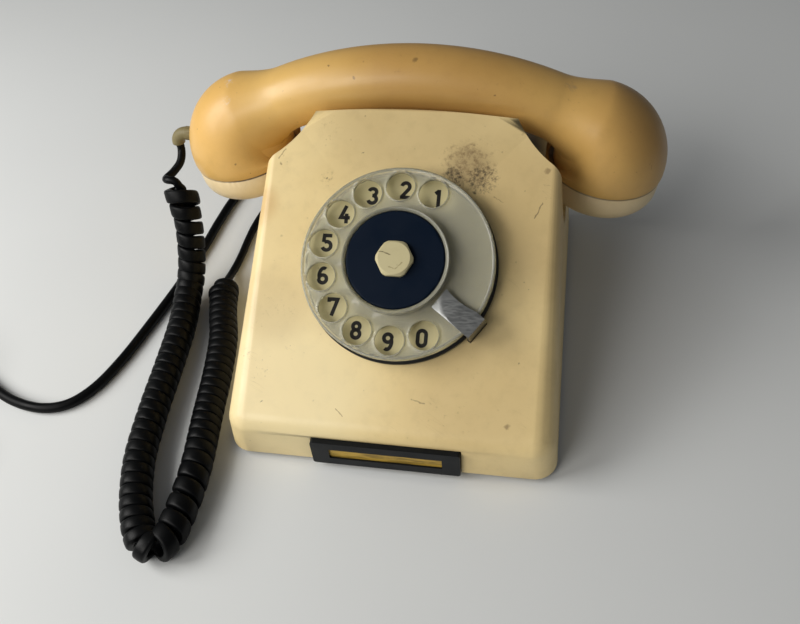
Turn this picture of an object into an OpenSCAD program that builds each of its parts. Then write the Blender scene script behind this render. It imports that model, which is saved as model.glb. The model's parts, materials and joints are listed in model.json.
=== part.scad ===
// Desk telephone with a rotary dial: a wedge-shaped moulded housing, a handset that lies across its
// top with a cup hanging on each side, a clear finger wheel over a numbered plate, and the dial train,
// ringer, cradle switch and circuit inside. Millimetres; +Z up, the dial looks towards -Y.

/* [Housing] */
// Width of the housing at the table
body_w = 142; // [130:1:156]
// Depth of the housing at the table
body_d = 171; // [165:1:185]
// Height of the face's top edge
top_h = 99.2; // [96:0.2:104]
// Height at which the face plane would meet the upright apron
apron_h = 21.8; // [20:0.2:24]
// Slope of the face above the table
face_slope = 33.1; // [31.5:0.1:34.5]
// Lean of the two side walls from upright
side_draft = 4.6; // [3:0.1:5.5]
// Lean of the back wall from upright
back_draft = 5.5; // [3:0.1:7]
// Wall of the mouldings
wall = 2.5; // [2.2:0.1:2.8]
// Rounding where the face rolls into the apron
apron_r = 10; // [8:0.5:11]
// Rounding along the top edge of the face and the upper end of its side edges
crest_r = 3; // [2.9:0.1:4]
// Rounding of the rear corners
rear_r = 7; // [6:0.5:9]
// Height of the housing's lower rim above the table
rim_h = 3; // [2:0.1:3.2]

/* [Base] */
// Thickness of the base plate
base_t = 2.2; // [1.5:0.1:3]
// Radius of a rubber foot
foot_r = 7; // [5:0.5:9]
// Height of a rubber foot
foot_h = 3.4; // [3:0.1:4]
// Radius of the screws that hold the base plate
base_screw_r = 1.5; // [1.2:0.1:1.8]

/* [Name strip] */
// Width of the strip's frame
label_w = 63; // [56:1:70]
// Height of the strip's frame
label_h = 14.5; // [13.5:0.5:15.5]
// How far the frame stands out of the apron
label_proud = 2.2; // [1.5:0.1:3]
// Width of the window in the frame
window_w = 47.8; // [40:0.2:50]
// Height of the window in the frame
window_h = 6; // [5:0.2:8]

/* [Dial] */
// Distance from the face's top edge down to the dial's centre
dial_down = 69.7; // [68:0.1:72]
// Radius of the finger wheel
wheel_r = 40.5; // [40:0.1:42]
// Radius of a finger hole
finger_r = 6.15; // [5.8:0.05:6.2]
// Radius of the circle that the finger holes lie on
finger_ring_r = 32.4; // [31.5:0.1:32.6]
// Number of finger holes
finger_count = 10; // [10]
// Angle from one finger hole to the next
finger_step = 25.3; // [24.5:0.1:26]
// Angle of the first finger hole, from the right
finger_first = 67.5; // [64:0.5:70]
// Angle of the finger stop, from the right
stop_angle = -36; // [-40:0.5:-32]
// Radius of the dark centre disc
disc_r = 20.6; // [18:0.1:21]
// Radius over the corners of the centre cap
cap_r = 8.3; // [7:0.1:9]
// Height of the number plate's top above the face
plate_top = 4.1; // [3.8:0.1:4.4]
// Height of the wheel's web above the face
web_low = 7.2; // [7:0.1:7.8]
// Thickness of the wheel's web
web_t = 2; // [1.6:0.1:2.4]
// Radius of the dial's main shaft
shaft_r = 3; // [2.5:0.1:3.2]

/* [Dial train] */
// Module of the first gear pair
drive_m = 0.7; // [0.66:0.01:0.72]
// Teeth on the drive gear
drive_teeth = 60; // [60]
// Teeth on the idler's pinion
pinion_teeth = 12; // [12]
// Module of the second gear pair
fast_m = 0.5; // [0.48:0.01:0.52]
// Teeth on the idler's wheel
fast_teeth = 50; // [50]
// Teeth on the governor's pinion
governor_teeth = 10; // [10]
// Direction from the main shaft to the idler
idler_angle = 200; // [190:1:206]
// Direction from the idler to the governor
governor_angle = 285; // [275:1:292]
// Thickness of the gears
gear_t = 1.5; // [1.2:0.1:1.6]

/* [Handset] */
// Distance from the handset's middle to each cup's axis, at the seam
cup_x = 86.3; // [84:0.1:88]
// Height of the seams above the table
seam_h = 60; // [58:0.1:62]
// Lean of the cups' axes
cup_lean = 8.6; // [7:0.1:10]
// Radius of a cup at its seam
cup_r = 26.9; // [25.5:0.1:27.4]
// Largest radius of a cup
bulb_r = 27.4; // [26:0.1:27.8]
// Radius of the bend between a cup and the grip
bend_r = 18.3; // [17:0.1:20]
// Radius of the grip's long arc
grip_arc_r = 156.2; // [150:0.2:165]
// Half the height of the grip
grip_half_h = 14.4; // [13.6:0.1:15]
// Half the depth of the grip
grip_half_d = 15.4; // [14.6:0.1:15.6]
// Depth of a screwed cap below its seam
cap_h = 15.5; // [14:0.1:16.5]
// Rounding of a screwed cap's rim
cap_round = 9; // [7:0.5:9.5]
// Distance of the handset's middle plane behind the housing's centre
handset_y = 53.5; // [53:0.1:54.5]
// Sideways play taken up in the cradle, where the handset lies
handset_shift = -3; // [-3:0.1:1]

/* [Cradle] */
// Radius of the trough that the grip lies in
trough_r = 22.8; // [22.4:0.1:23.2]
// Gap between the grip and its seat
seat_gap = 0.3; // [0.2:0.05:0.5]
// Radius of the bowl-shaped recess round each cup
notch_r = 45.3; // [44.8:0.1:45.8]
// Distance of the recesses' axes from the middle
notch_x = 84; // [83.5:0.1:84.5]
// Height of the recesses' floor
notch_floor = 38.5; // [36:0.1:40]
// Radius of the flat part of that floor
notch_flat = 20; // [18:0.5:22]
// Height over which a recess opens to its full radius
notch_rise = 48; // [46:0.5:50]
// Radius of a cradle plunger
plunger_r = 3; // [2.5:0.1:3.3]
// Distance of the plungers from the middle
plunger_x = 22; // [18:0.5:25]

/* [Ringer] */
// Radius of the larger gong
gong_r = 21; // [20:0.1:21.4]
// Height of a gong
gong_h = 11; // [9:0.5:12]
// Distance of the ringer behind the housing's centre
ringer_y = 40; // [39:0.5:41]
// Half the gap between the gongs
gong_gap = 4; // [3.8:0.1:4.5]
// Radius of the hammer
hammer_r = 3; // [2.6:0.1:3.1]

/* [Cords] */
// Diameter of the line cord
line_d = 4.8; // [4:0.1:5.4]
// Diameter of the handset cord's wire
wire_d = 4.2; // [3.6:0.1:4.4]
// Outer diameter of the coiled handset cord
coil_d = 15; // [14:0.1:16]

/* [Hidden] */

IVORY = [0.88, 0.80, 0.60];
AMBER = [0.80, 0.65, 0.35];
CREAM = [0.86, 0.78, 0.60];
BLACK = [0.06, 0.06, 0.07];
NAVY = [0.06, 0.09, 0.16];
GREY = [0.72, 0.70, 0.62];
STEEL = [0.62, 0.63, 0.65];
BRASS = [0.78, 0.62, 0.32];

fit_gap = 0.3;       // play between pieces that are dropped into each other
run_gap = 0.05;      // play of a shaft in its bearing
skin = 0.01;         // overlap of a cutter past a face
far = 400;           // longer than anything cut
$fn = 64;
body_facets = 32;    // facets round the housing's rolled edges

// ---- Planes of the housing, each as [outward normal, distance from the origin] ----
side_plane = [cos(side_draft), 0, sin(side_draft), body_w / 2 * cos(side_draft)];
apron_plane = [0, -1, 0, body_d / 2];
face_plane = [0, -sin(face_slope), cos(face_slope),
    sin(face_slope) * body_d / 2 + cos(face_slope) * apron_h];
crest_plane = [0, 0, 1, top_h];
back_plane = [0, cos(back_draft), sin(back_draft), body_d / 2 * cos(back_draft)];
under_plane = [0, 0, -1, 4 * rim_h];
function side_x(z) = body_w / 2 - z * tan(side_draft);
function back_y(z) = body_d / 2 - z * tan(back_draft);
function face_z(y) = apron_h + (y + body_d / 2) * tan(face_slope);

function normal(p) = [p[0], p[1], p[2]];
// Centre of a ball of radius r that touches three planes from inside
function ball_centre(a, b, c, r) = let (n1 = normal(a), n2 = normal(b), n3 = normal(c))
    ((a[3] - r) * cross(n2, n3) + (b[3] - r) * cross(n3, n1) + (c[3] - r) * cross(n1, n2))
    / (n1 * cross(n2, n3));
// The corners, each as three planes and a rounding
body_corners = [
    [apron_plane, side_plane, under_plane, apron_r],
    [apron_plane, side_plane, face_plane, apron_r],
    [side_plane, crest_plane, face_plane, crest_r],
    [side_plane, crest_plane, back_plane, rear_r],
    [side_plane, back_plane, under_plane, rear_r]];
least_r = 2;         // least rounding inside

// ---- The dial's own frame: origin on the face, z outwards ----
face_top_y = (top_h - apron_h) / tan(face_slope) - body_d / 2;
dial_y = face_top_y - dial_down * cos(face_slope);
dial_z = top_h - dial_down * sin(face_slope);
opening_r = wheel_r - 3.5;         // hole in the face for the dial's frame
surround_r = wheel_r + 0.8;        // black ring round the wheel
frame_r = opening_r - 0.7;         // dial frame, dropped into the opening
frame_low = -8;                    // underside of the frame's floor
floor_t = 1.8;
tab_root = 3.5;                    // how far the ears' roots reach into the floor
tab_inset = 0.25;                  // how far the roots lie inside the floor's two faces
ear_ring_r = wheel_r + 3.5;        // circle of the frame's three ears
ear_r = 4;
bearing_top = -23.4;               // upper face of the bearing plate
bearing_t = 1.6;
wheel_top = web_low + web_t;
disc_top = wheel_top + 5.4;
stop_low = wheel_top + 1.7;
stop_t = 1.4;
stop_w = 10;
stop_r = surround_r + 0.5;         // inner radius of the stop's riser
riser_t = 1.5;
drive_high = -10.9;                // upper face of the drive gear
idler_at = [for (f = [cos(idler_angle), sin(idler_angle)])
    f * drive_m * (drive_teeth + pinion_teeth) / 2];
governor_at = [idler_at[0] + cos(governor_angle) * fast_m * (fast_teeth + governor_teeth) / 2,
    idler_at[1] + sin(governor_angle) * fast_m * (fast_teeth + governor_teeth) / 2];
fast_low = -17.1;                  // underside of the idler's wheel
arbor_r = 1;
spindle_r = 0.8;
cup_in_r = 8.4;                    // inside of the governor's cup
cup_wall = 0.8;
weight_r = cup_in_r - 0.7;
weight_pin_r = 0.6;
weight_pin_at = 5.4;
cam_low = -21.6;
cam_r = 10;
pillar_r = 2.2;
pillar_ring_r = 27;
pillar_angles = [60, 130, 310];
ear_angles = [90, 210, 348];

// ---- The handset's middle curve, in its own plane, for the right-hand side ----
cup_dir = [sin(cup_lean), cos(cup_lean)];
cup_straight = 3.3;                // straight stretch of the cup's axis above its seam
bend_at = [cup_x, seam_h] + cup_straight * cup_dir - bend_r * [cup_dir[1], -cup_dir[0]];
grip_centre_z = bend_at[1] - sqrt(pow(grip_arc_r - bend_r, 2) - pow(bend_at[0], 2));
bend_end = atan2(bend_at[1] - grip_centre_z, bend_at[0]);
grip_z = grip_centre_z + grip_arc_r;
bend_len = bend_r * (bend_end + cup_lean) * PI / 180;
blend_len = 41.5;                  // length over which a cup's bulge dies into the grip
half_len = cup_straight + bend_len + grip_arc_r * (90 - bend_end) * PI / 180;
shell_rings = 23;                  // rings on each half of the handset's skin
shell_sides = 28;
pocket_r = cup_r - 3.3;            // round pocket for the capsule
pocket_deep = 13;
trough_arc_r = grip_arc_r + trough_r - grip_half_h - seat_gap;

// Point and direction of the middle curve at distance s from the seam
function curve_at(s) = s < cup_straight
    ? [[cup_x, seam_h] + s * cup_dir, cup_dir]
    : s < cup_straight + bend_len
    ? let (a = -cup_lean + (s - cup_straight) / bend_r * 180 / PI)
        [bend_at + bend_r * [cos(a), sin(a)], [-sin(a), cos(a)]]
    : let (a = bend_end + (s - cup_straight - bend_len) / grip_arc_r * 180 / PI)
        [[0, grip_centre_z] + grip_arc_r * [cos(a), sin(a)], [-sin(a), cos(a)]];
function ease(t) = t <= 0 ? 0 : t >= 1 ? 1 : t * t * (3 - 2 * t);
function bulge(s) = s < cup_straight
    ? cup_r + (bulb_r - cup_r) * sin(90 * s / cup_straight) : bulb_r;
function half_h(s) = let (w = ease((s - cup_straight) / blend_len)) bulge(s) * (1 - w) + grip_half_h * w;
function half_d(s) = let (w = ease((s - cup_straight) / blend_len)) bulge(s) * (1 - w) + grip_half_d * w;
// One ring of the handset's skin; side is 1 for the right half and -1 for the left
function skin_ring(s, side) = let (c = curve_at(s), p = c[0], d = c[1]) [for (i = [0 : shell_sides - 1])
    let (a = side * 360 * i / shell_sides, u = half_h(s) * cos(a))
    [side * (p[0] + u * d[1]), -half_d(s) * sin(a) * side, p[1] - u * d[0]]];

// One ring of the pocket, at height h above the seam
function pocket_ring(h, side) = let (p = [cup_x, seam_h] + h * cup_dir) [for (i = [0 : shell_sides - 1])
    let (a = side * 360 * i / shell_sides, u = pocket_r * cos(a))
    [side * (p[0] + u * cup_dir[1]), -pocket_r * sin(a) * side, p[1] - u * cup_dir[0]]];

// ---- Cord routes, as points on the cord's middle line ----
lead_route = [[-123.5, 49, 65.2], [-123.5, 49, 61], [-123, 44, 55], [-122, 35, 52], [-121, 27, 50]];
coil_route = [[-121, 27, 50], [-120.5, 22, 37], [-120, 16, 25], [-119, 8, 14], [-118, -4, 8.5],
    [-116, -20, 7.5], [-112.5, -45, 7.5], [-109.5, -72, 7.5], [-107.5, -94, 7.5], [-104.5, -112, 7.5],
    [-99.5, -126, 7.5], [-92, -136, 7.5], [-83, -137.5, 7.5], [-77.5, -130, 7.5], [-77, -116, 7.5],
    [-79.5, -96, 7.5], [-84, -68, 7.5], [-90, -38, 7.5], [-96, -14, 7.5], [-101, 8, 7.5]];
tail_route = [[-101, 8, 7.5], [-101.5, 17, 4.5], [-100.5, 32, 2.1], [-99.5, 60, 2.1], [-95, 82, 2.1],
    [-84, 97, 2.2], [-68, 106, 4], [-55, 108.5, 8], [-46.5, 104, 11.5], [-45, 96, 12]];
line_route = [[-20, 96, 12], [-20.5, 105, 9], [-26, 115, 4], [-40, 122, 2.4], [-62, 123, 2.4],
    [-87, 116, 2.4], [-107, 101, 2.4], [-118, 84, 2.4], [-123, 64, 2.4], [-125, 42, 2.4], [-128, 12, 2.4],
    [-133, -20, 2.4], [-138, -46, 2.4], [-144, -61, 2.4], [-154, -69, 2.4], [-166, -72.5, 2.4],
    [-179, -71, 2.4], [-192, -66, 2.4], [-210, -55.5, 2.8], [-230, -46.8, 3.2], [-253, -42.6, 3.2]];
plug_route = [[-253, -101.4, 17.6], [-243, -103.5, 15], [-235, -107, 10], [-229, -109, 7]];
coil_at = [-253, -72];
coil_mean_r = 27;
coil_low = 0.8;
coil_rows = 2;
coil_layers = 4;
gland_x = [-45, -20];
gland_z = 12;
gland_out = 96;
gland_hole_r = 4.2;

// Smooth curve through the points: even steps of a cubic between each two
function knot(p, i) = p[max(0, min(len(p) - 1, i))];
function cubic(a, b, c, d, t) = 0.5 * ((2 * b) + (c - a) * t + (2 * a - 5 * b + 4 * c - d) * t * t
    + (3 * b - a - 3 * c + d) * t * t * t);
function smooth(p, steps) = concat([for (i = [0 : len(p) - 2], k = [0 : steps - 1])
    cubic(knot(p, i - 1), p[i], p[i + 1], knot(p, i + 2), k / steps)], [p[len(p) - 1]]);
function unit(v) = v / norm(v);
function heading(p, i) = unit(knot(p, i + 1) - knot(p, i - 1));
lean_ref = unit([0.35, 0.2, 0.91]);
function ring_points(c, d, r, sides, ref) = let (u = unit(cross(ref, d)), v = cross(d, u))
    [for (k = [0 : sides - 1]) c + r * (cos(360 * k / sides) * u + sin(360 * k / sides) * v)];

module tube(route, d, steps, sides, ref = lean_ref) {
    p = smooth(route, steps);
    n = len(p);
    points = [for (i = [0 : n - 1]) each ring_points(p[i], heading(p, i), d / 2, sides, ref)];
    walls = [for (i = [0 : n - 2], k = [0 : sides - 1]) let (a = i * sides + k, b = i * sides + (k + 1) % sides)
        [a, a + sides, b + sides, b]];
    first = [for (k = [0 : sides - 1]) k];
    last = [for (k = [0 : sides - 1]) n * sides - 1 - k];
    polyhedron(points, concat(walls, [first], [last]), convexity = 10);
}

// ---- Helpers ----
module on_face(x = 0, y = 0, z = 0) {
    translate([0, dial_y, dial_z]) rotate([face_slope, 0, 0]) translate([x, y, z]) children();
}
module round_turn(angle, r, z = 0) {
    rotate([0, 0, angle]) translate([r, 0, z]) children();
}
// The handset's middle lies over the frame's origin, so the housing stands a little to the right of it
module placed() {
    translate([-handset_shift, 0, 0]) children();
}
module both_sides() {
    children();
    mirror([1, 0, 0]) children();
}
module at_cup(side, z = 0) {
    translate([side * cup_x + handset_shift, handset_y, seam_h]) rotate([0, side * cup_lean, 0])
        translate([0, 0, z]) children();
}
module pipe(r_out, r_in, h) {
    difference() {
        cylinder(r = r_out, h = h);
        translate([0, 0, -skin]) cylinder(r = r_in, h = h + 2 * skin);
    }
}
module rounded_plate(w, d, r, h) {
    linear_extrude(h) union() {
        square([w - 2 * r, d], center = true);
        square([w, d - 2 * r], center = true);
        for (x = [-1, 1], y = [-1, 1]) translate([x * (w / 2 - r), y * (d / 2 - r)]) circle(r = r);
    }
}
// Gear blank with straight-sided teeth; the first tooth's middle lies at angle 0
module gear(m, teeth, h) {
    root = m * teeth / 2 - 1.1 * m;
    tip = m * teeth / 2 + 0.85 * m;
    step = 360 / teeth;
    linear_extrude(h) polygon([for (i = [0 : teeth - 1], q = [[root, -0.30], [tip, -0.11], [tip, 0.11], [root, 0.30]])
        q[0] * [cos((i + q[1]) * step), sin((i + q[1]) * step)]]);
}

// ---- Housing ----
module body_form(inset) {
    hull() both_sides() for (c = body_corners) let (r = max(c[3] - inset, least_r))
        translate(ball_centre(c[0], c[1], c[2], r + inset)) sphere(r = r, $fn = body_facets);
}
module trough(grow) {
    translate([handset_shift, handset_y, grip_centre_z]) rotate([90, 0, 0])
        rotate_extrude() translate([trough_arc_r, 0]) circle(r = trough_r + grow);
}
module cup_notches(grow) {
    open = notch_r - notch_flat;
    both_sides() translate([notch_x, handset_y, 0]) rotate_extrude() polygon(concat(
        [[0, notch_floor - grow]],
        [for (t = [0 : 9 : 90]) let (n = unit([notch_rise * sin(t), -open * cos(t)]))
            [notch_flat + open * sin(t) + grow * n[0], notch_floor + notch_rise * (1 - cos(t)) + grow * n[1]]],
        [[notch_r + grow, far], [0, far]]));
}
post_spots = [[54, -66], [57, 68]];
screw_bore_r = base_screw_r + run_gap;
module base_posts() {
    both_sides() {
        difference() {
            translate([post_spots[0][0], post_spots[0][1], foot_h + base_t]) cylinder(r = 4.2, h = far);
            on_face(0, 0, -wall / 2) translate([-far / 2, -far / 2, 0]) cube(far);
        }
        translate([post_spots[1][0], post_spots[1][1], foot_h + base_t])
            cylinder(r = 4.2, h = notch_floor + 8 - foot_h - base_t);
    }
}
module face_fittings() {
    for (a = ear_angles) on_face() round_turn(a, ear_ring_r, frame_low + floor_t)
        cylinder(r = 3.6, h = -frame_low - floor_t - wall / 2);
    both_sides() translate([plunger_x, handset_y, plunger_guide_low])
        cylinder(r = plunger_r + 2.3, h = trough_low(plunger_x) - wall / 2 - plunger_guide_low);
}
module face_cuts() {
    on_face(0, 0, -wall - 2) cylinder(r = opening_r, h = far);
    on_face() rotate([0, 0, stop_angle]) translate([stop_r - fit_gap, -stop_w / 2 - fit_gap, -wall - 2])
        cube([riser_t + 2 * fit_gap, stop_w + 2 * fit_gap, far]);
    for (a = ear_angles) on_face() round_turn(a, ear_ring_r, frame_low)
        cylinder(r = dial_screw_r + run_gap, h = -frame_low - 0.8);
    both_sides() translate([plunger_x, handset_y, plunger_guide_low - skin])
        cylinder(r = plunger_r + fit_gap, h = far);
    both_sides() for (p = post_spots) translate([p[0], p[1], 0]) cylinder(r = screw_bore_r, h = 17);
    for (x = gland_x) translate([x, body_d / 2 - 10, gland_z]) rotate([-90, 0, 0])
        cylinder(r = gland_hole_r, h = 20);
    translate([-label_w / 2 - fit_gap, -body_d / 2 - far, label_z - fit_gap])
        cube([label_w + 2 * fit_gap, far + label_seat, label_h + 2 * fit_gap]);
}
label_z = 3.2;
label_seat = 1.6;
dial_screw_r = 1.4;
plunger_guide_low = 76.5;
function trough_low(x) = grip_centre_z + sqrt(pow(trough_arc_r, 2) - x * x) - trough_r;
module label_backing() {
    translate([-label_w / 2 - 3, -body_d / 2 + label_seat, rim_h])
        cube([label_w + 6, wall, label_h + 3]);
}
module housing() {
    color(IVORY) placed() difference() {
        union() {
            difference() {
                body_form(0);
                difference() {
                    body_form(wall);
                    trough(wall);
                    cup_notches(wall);
                }
                translate([-far / 2, -far / 2, rim_h - far]) cube(far);
            }
            base_posts();
            face_fittings();
            intersection() {
                label_backing();
                body_form(wall / 2);
            }
        }
        trough(0);
        cup_notches(0);
        face_cuts();
    }
}

// ---- Base ----
plate_w = 2 * (side_x(foot_h + base_t) - wall / cos(side_draft) - fit_gap);
plate_front = -body_d / 2 + label_seat + wall + fit_gap;
plate_back = back_y(foot_h + base_t) - wall / cos(back_draft) - fit_gap;
board_at = [0, 35.5 - body_d / 2];
board_size = [84, 42, 1.6];
board_z = foot_h + base_t + 3;
yoke_z = foot_h + base_t + 2;
module base_plate() {
    color(BLACK) placed() difference() {
        union() {
            translate([0, (plate_front + plate_back) / 2, foot_h])
                rounded_plate(plate_w, plate_back - plate_front, rear_r - wall, base_t);
            for (x = [-1, 1], y = [-1, 1]) translate([board_at[0] + x * (board_size[0] / 2 - 4),
                board_at[1] + y * (board_size[1] / 2 - 4), foot_h]) cylinder(r = 2.6, h = board_z - foot_h);
            both_sides() translate([14, ringer_y, foot_h]) cylinder(r = 3, h = yoke_z - foot_h);
            for (y = [64, 71]) translate([-30, y, foot_h]) cube([60, 1.5, base_t + 3]);
        }
        both_sides() for (p = post_spots) translate([p[0], p[1], 0]) cylinder(r = base_screw_r + 0.3, h = 20);
        for (x = [-34 : 4 : 34]) translate([x - 1, 0, foot_h - skin]) cube([2, 16, base_t + 2 * skin]);
    }
}
foot_spots = [[56, -52], [54, 52]];
module feet() {
    color(BLACK) placed() both_sides() for (p = foot_spots) translate([p[0], p[1], 0]) rotate_extrude()
        polygon([[0, 0], [foot_r - 1, 0], [foot_r, 1], [foot_r, foot_h], [0, foot_h]]);
}
module base_screws() {
    color(STEEL) placed() both_sides() for (p = post_spots) translate([p[0], p[1], 0]) {
        translate([0, 0, foot_h - 1.8]) cylinder(r = 2.9, h = 1.8);
        translate([0, 0, foot_h - 0.5]) cylinder(r = base_screw_r, h = 11);
    }
}

// ---- Name strip on the apron ----
lip_t = 0.8;         // the frame's edge round the window
strip_play = 0.2;
module label_frame() {
    back = -body_d / 2 + label_seat;
    front = -body_d / 2 - label_proud;
    color(BLACK) placed() difference() {
        translate([0, back, label_z + label_h / 2]) rotate([90, 0, 0])
            rounded_plate(label_w, label_h, 1.2, back - front);
        translate([-window_w / 2, front - 1, label_z + (label_h - window_h) / 2])
            cube([window_w, back - front + 2, window_h]);
        translate([-window_w / 2 - 1, front + lip_t, label_z + (label_h - window_h) / 2 - 1])
            cube([window_w + 2, back - front, window_h + 2]);
    }
}
module label_strip() {
    front = lip_t + strip_play - body_d / 2 - label_proud;
    color([0.72, 0.60, 0.28]) placed() translate([-window_w / 2 - 0.8, front,
        label_z + (label_h - window_h) / 2 - 0.8])
        cube([window_w + 1.6, label_seat - body_d / 2 - front, window_h + 1.6]);
}

// ---- Dial: fixed parts ----
module dial_surround() {
    color(BLACK) placed() on_face() rotate_extrude() polygon([[frame_r + fit_gap, 0], [surround_r, 0],
        [surround_r, plate_top - 1.9], [surround_r - 0.9, plate_top - 1], [frame_r + fit_gap, plate_top - 1]]);
}
module number_plate() {
    color(GREY) placed() on_face(0, 0, plate_top - 1) pipe(wheel_r - 0.9, 8, 1);
}
module dial_frame() {
    color(STEEL) placed() on_face() difference() {
        union() {
            rotate_extrude() polygon([[0, frame_low], [frame_r, frame_low], [frame_r, plate_top - 1.3],
                [frame_r - 1.8, plate_top - 1.3], [frame_r - 1.8, frame_low + floor_t],
                [shaft_r + 3, frame_low + floor_t], [shaft_r + 3, frame_low + 2.8], [0, frame_low + 2.8]]);
            for (a = ear_angles) rotate([0, 0, a]) {
                translate([frame_r - tab_root, 0.2 - ear_r, frame_low + tab_inset])
                    cube([ear_ring_r - frame_r + tab_root, 2 * ear_r - 0.4, floor_t - 2 * tab_inset]);
                translate([ear_ring_r, 0, frame_low]) cylinder(r = ear_r, h = floor_t);
            }
            rotate([0, 0, stop_angle]) translate([frame_r - tab_root, -stop_w / 2, frame_low + tab_inset])
                cube([stop_r + riser_t + 0.5 - frame_r + tab_root, stop_w, floor_t - 2 * tab_inset]);
            round_turn(spring_end, spring_out + spring_t + 1.4, frame_low + 1) cylinder(r = 1.4, h = 6.4);
        }
        translate([0, 0, frame_low - 1]) cylinder(r = shaft_r + run_gap, h = 20);
        translate([idler_at[0], idler_at[1], frame_low - 1]) cylinder(r = arbor_r + run_gap, h = 20);
        translate([governor_at[0], governor_at[1], frame_low - 1]) cylinder(r = spindle_r + run_gap, h = 20);
        for (a = ear_angles) round_turn(a, ear_ring_r, frame_low - 1) cylinder(r = dial_screw_r + 0.3, h = 4);
    }
}
module bearing_plate() {
    color(STEEL) placed() on_face(0, 0, bearing_top - bearing_t) difference() {
        union() {
            for (a = pillar_angles) round_turn(a, pillar_ring_r)
                cylinder(r = pillar_r, h = frame_low - bearing_top + bearing_t);
            cylinder(r = pillar_ring_r + 4, h = bearing_t);
            translate([governor_at[0], governor_at[1], 0]) cylinder(r = cup_in_r + cup_wall + 1, h = bearing_t);
        }
        translate([0, 0, -1]) cylinder(r = shaft_r + run_gap, h = 5);
        translate([idler_at[0], idler_at[1], -1]) cylinder(r = arbor_r + run_gap, h = 5);
        translate([governor_at[0], governor_at[1], -1]) cylinder(r = spindle_r + run_gap, h = 5);
        for (a = [95, 270, 345]) round_turn(a, 17, -1) cylinder(r = 5, h = 5);
    }
}
module dial_screws() {
    color(STEEL) placed() for (a = ear_angles) on_face() round_turn(a, ear_ring_r, frame_low) {
        translate([0, 0, -1.6]) cylinder(r = 2.7, h = 1.6);
        translate([0, 0, -0.5]) cylinder(r = dial_screw_r, h = 6.8);
    }
}
// The stop: a blade over the wheel whose leading corner slopes away to a thin lip, and a riser
fin_r = 13.8;
fin_run = 7;         // width over which the slope falls through the blade's thickness
module finger_stop() {
    inner = disc_r + 3;
    outer = stop_r + riser_t;
    color(STEEL) placed() on_face() rotate([0, 0, stop_angle]) {
        difference() {
            translate([inner, -stop_w / 2, stop_low]) cube([outer - inner, stop_w, stop_t]);
            translate([inner + 11.9, 14 - stop_w / 2, stop_low]) rotate([0, 0, 180]) rotate_extrude(angle = 90)
                polygon([[fin_r, stop_t], [fin_r + fin_run, 0], [fin_r + fin_run, stop_t + 1], [fin_r, stop_t + 1]]);
            translate([inner + 6.5, stop_w / 2 + 28.8, stop_low - 1]) cylinder(r = 30, h = stop_t + 2);
        }
        translate([stop_r, -stop_w / 2, frame_low + floor_t - tab_inset])
            cube([riser_t, stop_w, stop_low + stop_t - frame_low - floor_t + tab_inset]);
    }
}
// Flat spiral spring that turns the wheel back
spring_turns = 5;
spring_in = shaft_r + 2.6;
spring_out = frame_r - 6.4;
spring_end = 20;
spring_t = 0.7;
function spiral(a, add) = (spring_in + (spring_out - spring_in) * a / (360 * spring_turns + spring_end) + add)
    * [cos(a), sin(a)];
module return_spring() {
    last = 360 * spring_turns + spring_end;
    color(STEEL) placed() on_face(0, 0, frame_low + 3.6) linear_extrude(3.4) polygon(concat(
        [for (a = [0 : 15 : last]) spiral(a, 0)], [for (a = [last : -15 : 0]) spiral(a, spring_t)]));
}
// Two leaf springs on an insulating block, reaching past the cam
module pulse_contacts() {
    placed() on_face() {
        color([0.25, 0.16, 0.10]) translate([cam_r + 0.8, 9, bearing_top]) cube([6, 7, 5]);
        color(BRASS) for (k = [0, 1]) translate([cam_r + 0.6 + k * 2.2, -3, cam_low - 0.8])
            cube([0.4, 12, 3]);
    }
}
module governor_cup() {
    color(BRASS) placed() on_face(governor_at[0], governor_at[1], bearing_top) rotate_extrude()
        polygon([[spindle_r + 0.4, 0], [cup_in_r + cup_wall, 0], [cup_in_r + cup_wall, 5],
            [cup_in_r, 5], [cup_in_r, 0.8], [spindle_r + 0.4, 0.8]]);
}

// ---- Dial: turning parts ----
module finger_wheel() {
    color([0.85, 0.86, 0.82, 0.5]) placed() on_face() difference() {
        union() {
            rotate_extrude() polygon([[hub_r + 0.1, web_low], [wheel_r - 1.3, web_low],
                [wheel_r - 1.3, web_low - 1], [wheel_r, web_low - 1], [wheel_r, wheel_top + 0.3],
                [wheel_r - 0.4, wheel_top + 0.7], [wheel_r - 1.2, wheel_top + 0.7], [wheel_r - 1.7, wheel_top],
                [disc_r + 1.7, wheel_top], [disc_r + 1.5, disc_top + 0.2], [disc_r + 0.1, disc_top + 0.2],
                [disc_r + 0.1, wheel_top], [hub_r + 0.1, wheel_top]]);
            for (i = [0 : finger_count - 1]) round_turn(finger_first + i * finger_step, finger_ring_r, wheel_top - 0.5)
                cylinder(r = finger_r + 0.7, h = 0.9);
        }
        for (i = [0 : finger_count - 1]) round_turn(finger_first + i * finger_step, finger_ring_r, web_low - 1)
            cylinder(r = finger_r, h = 10);
    }
}
hub_r = shaft_r + 3.2;
module wheel_hub() {
    color(BRASS) placed() on_face() rotate_extrude() polygon([[shaft_r + 0.02, frame_low + 3.2],
        [shaft_r + 2, frame_low + 3.2], [shaft_r + 2, plate_top + 1.1], [shaft_r + 7, plate_top + 1.1],
        [shaft_r + 7, web_low], [hub_r, web_low], [hub_r, wheel_top], [shaft_r + 0.02, wheel_top]]);
}
module hub_nut() {
    color(BRASS) placed() on_face(0, 0, wheel_top) difference() {
        cylinder(r = hub_r + 1.5, h = 2.4, $fn = 6);
        translate([0, 0, -1]) cylinder(r = shaft_r + 0.02, h = 5);
    }
}
module centre_disc() {
    color(NAVY) placed() on_face() rotate_extrude() polygon([[0, disc_top - 1.4], [disc_r - 1.4, disc_top - 1.4],
        [disc_r - 1.4, wheel_top], [disc_r, wheel_top], [disc_r, disc_top - 0.6],
        [disc_r - 0.6, disc_top], [0, disc_top]]);
}
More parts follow.
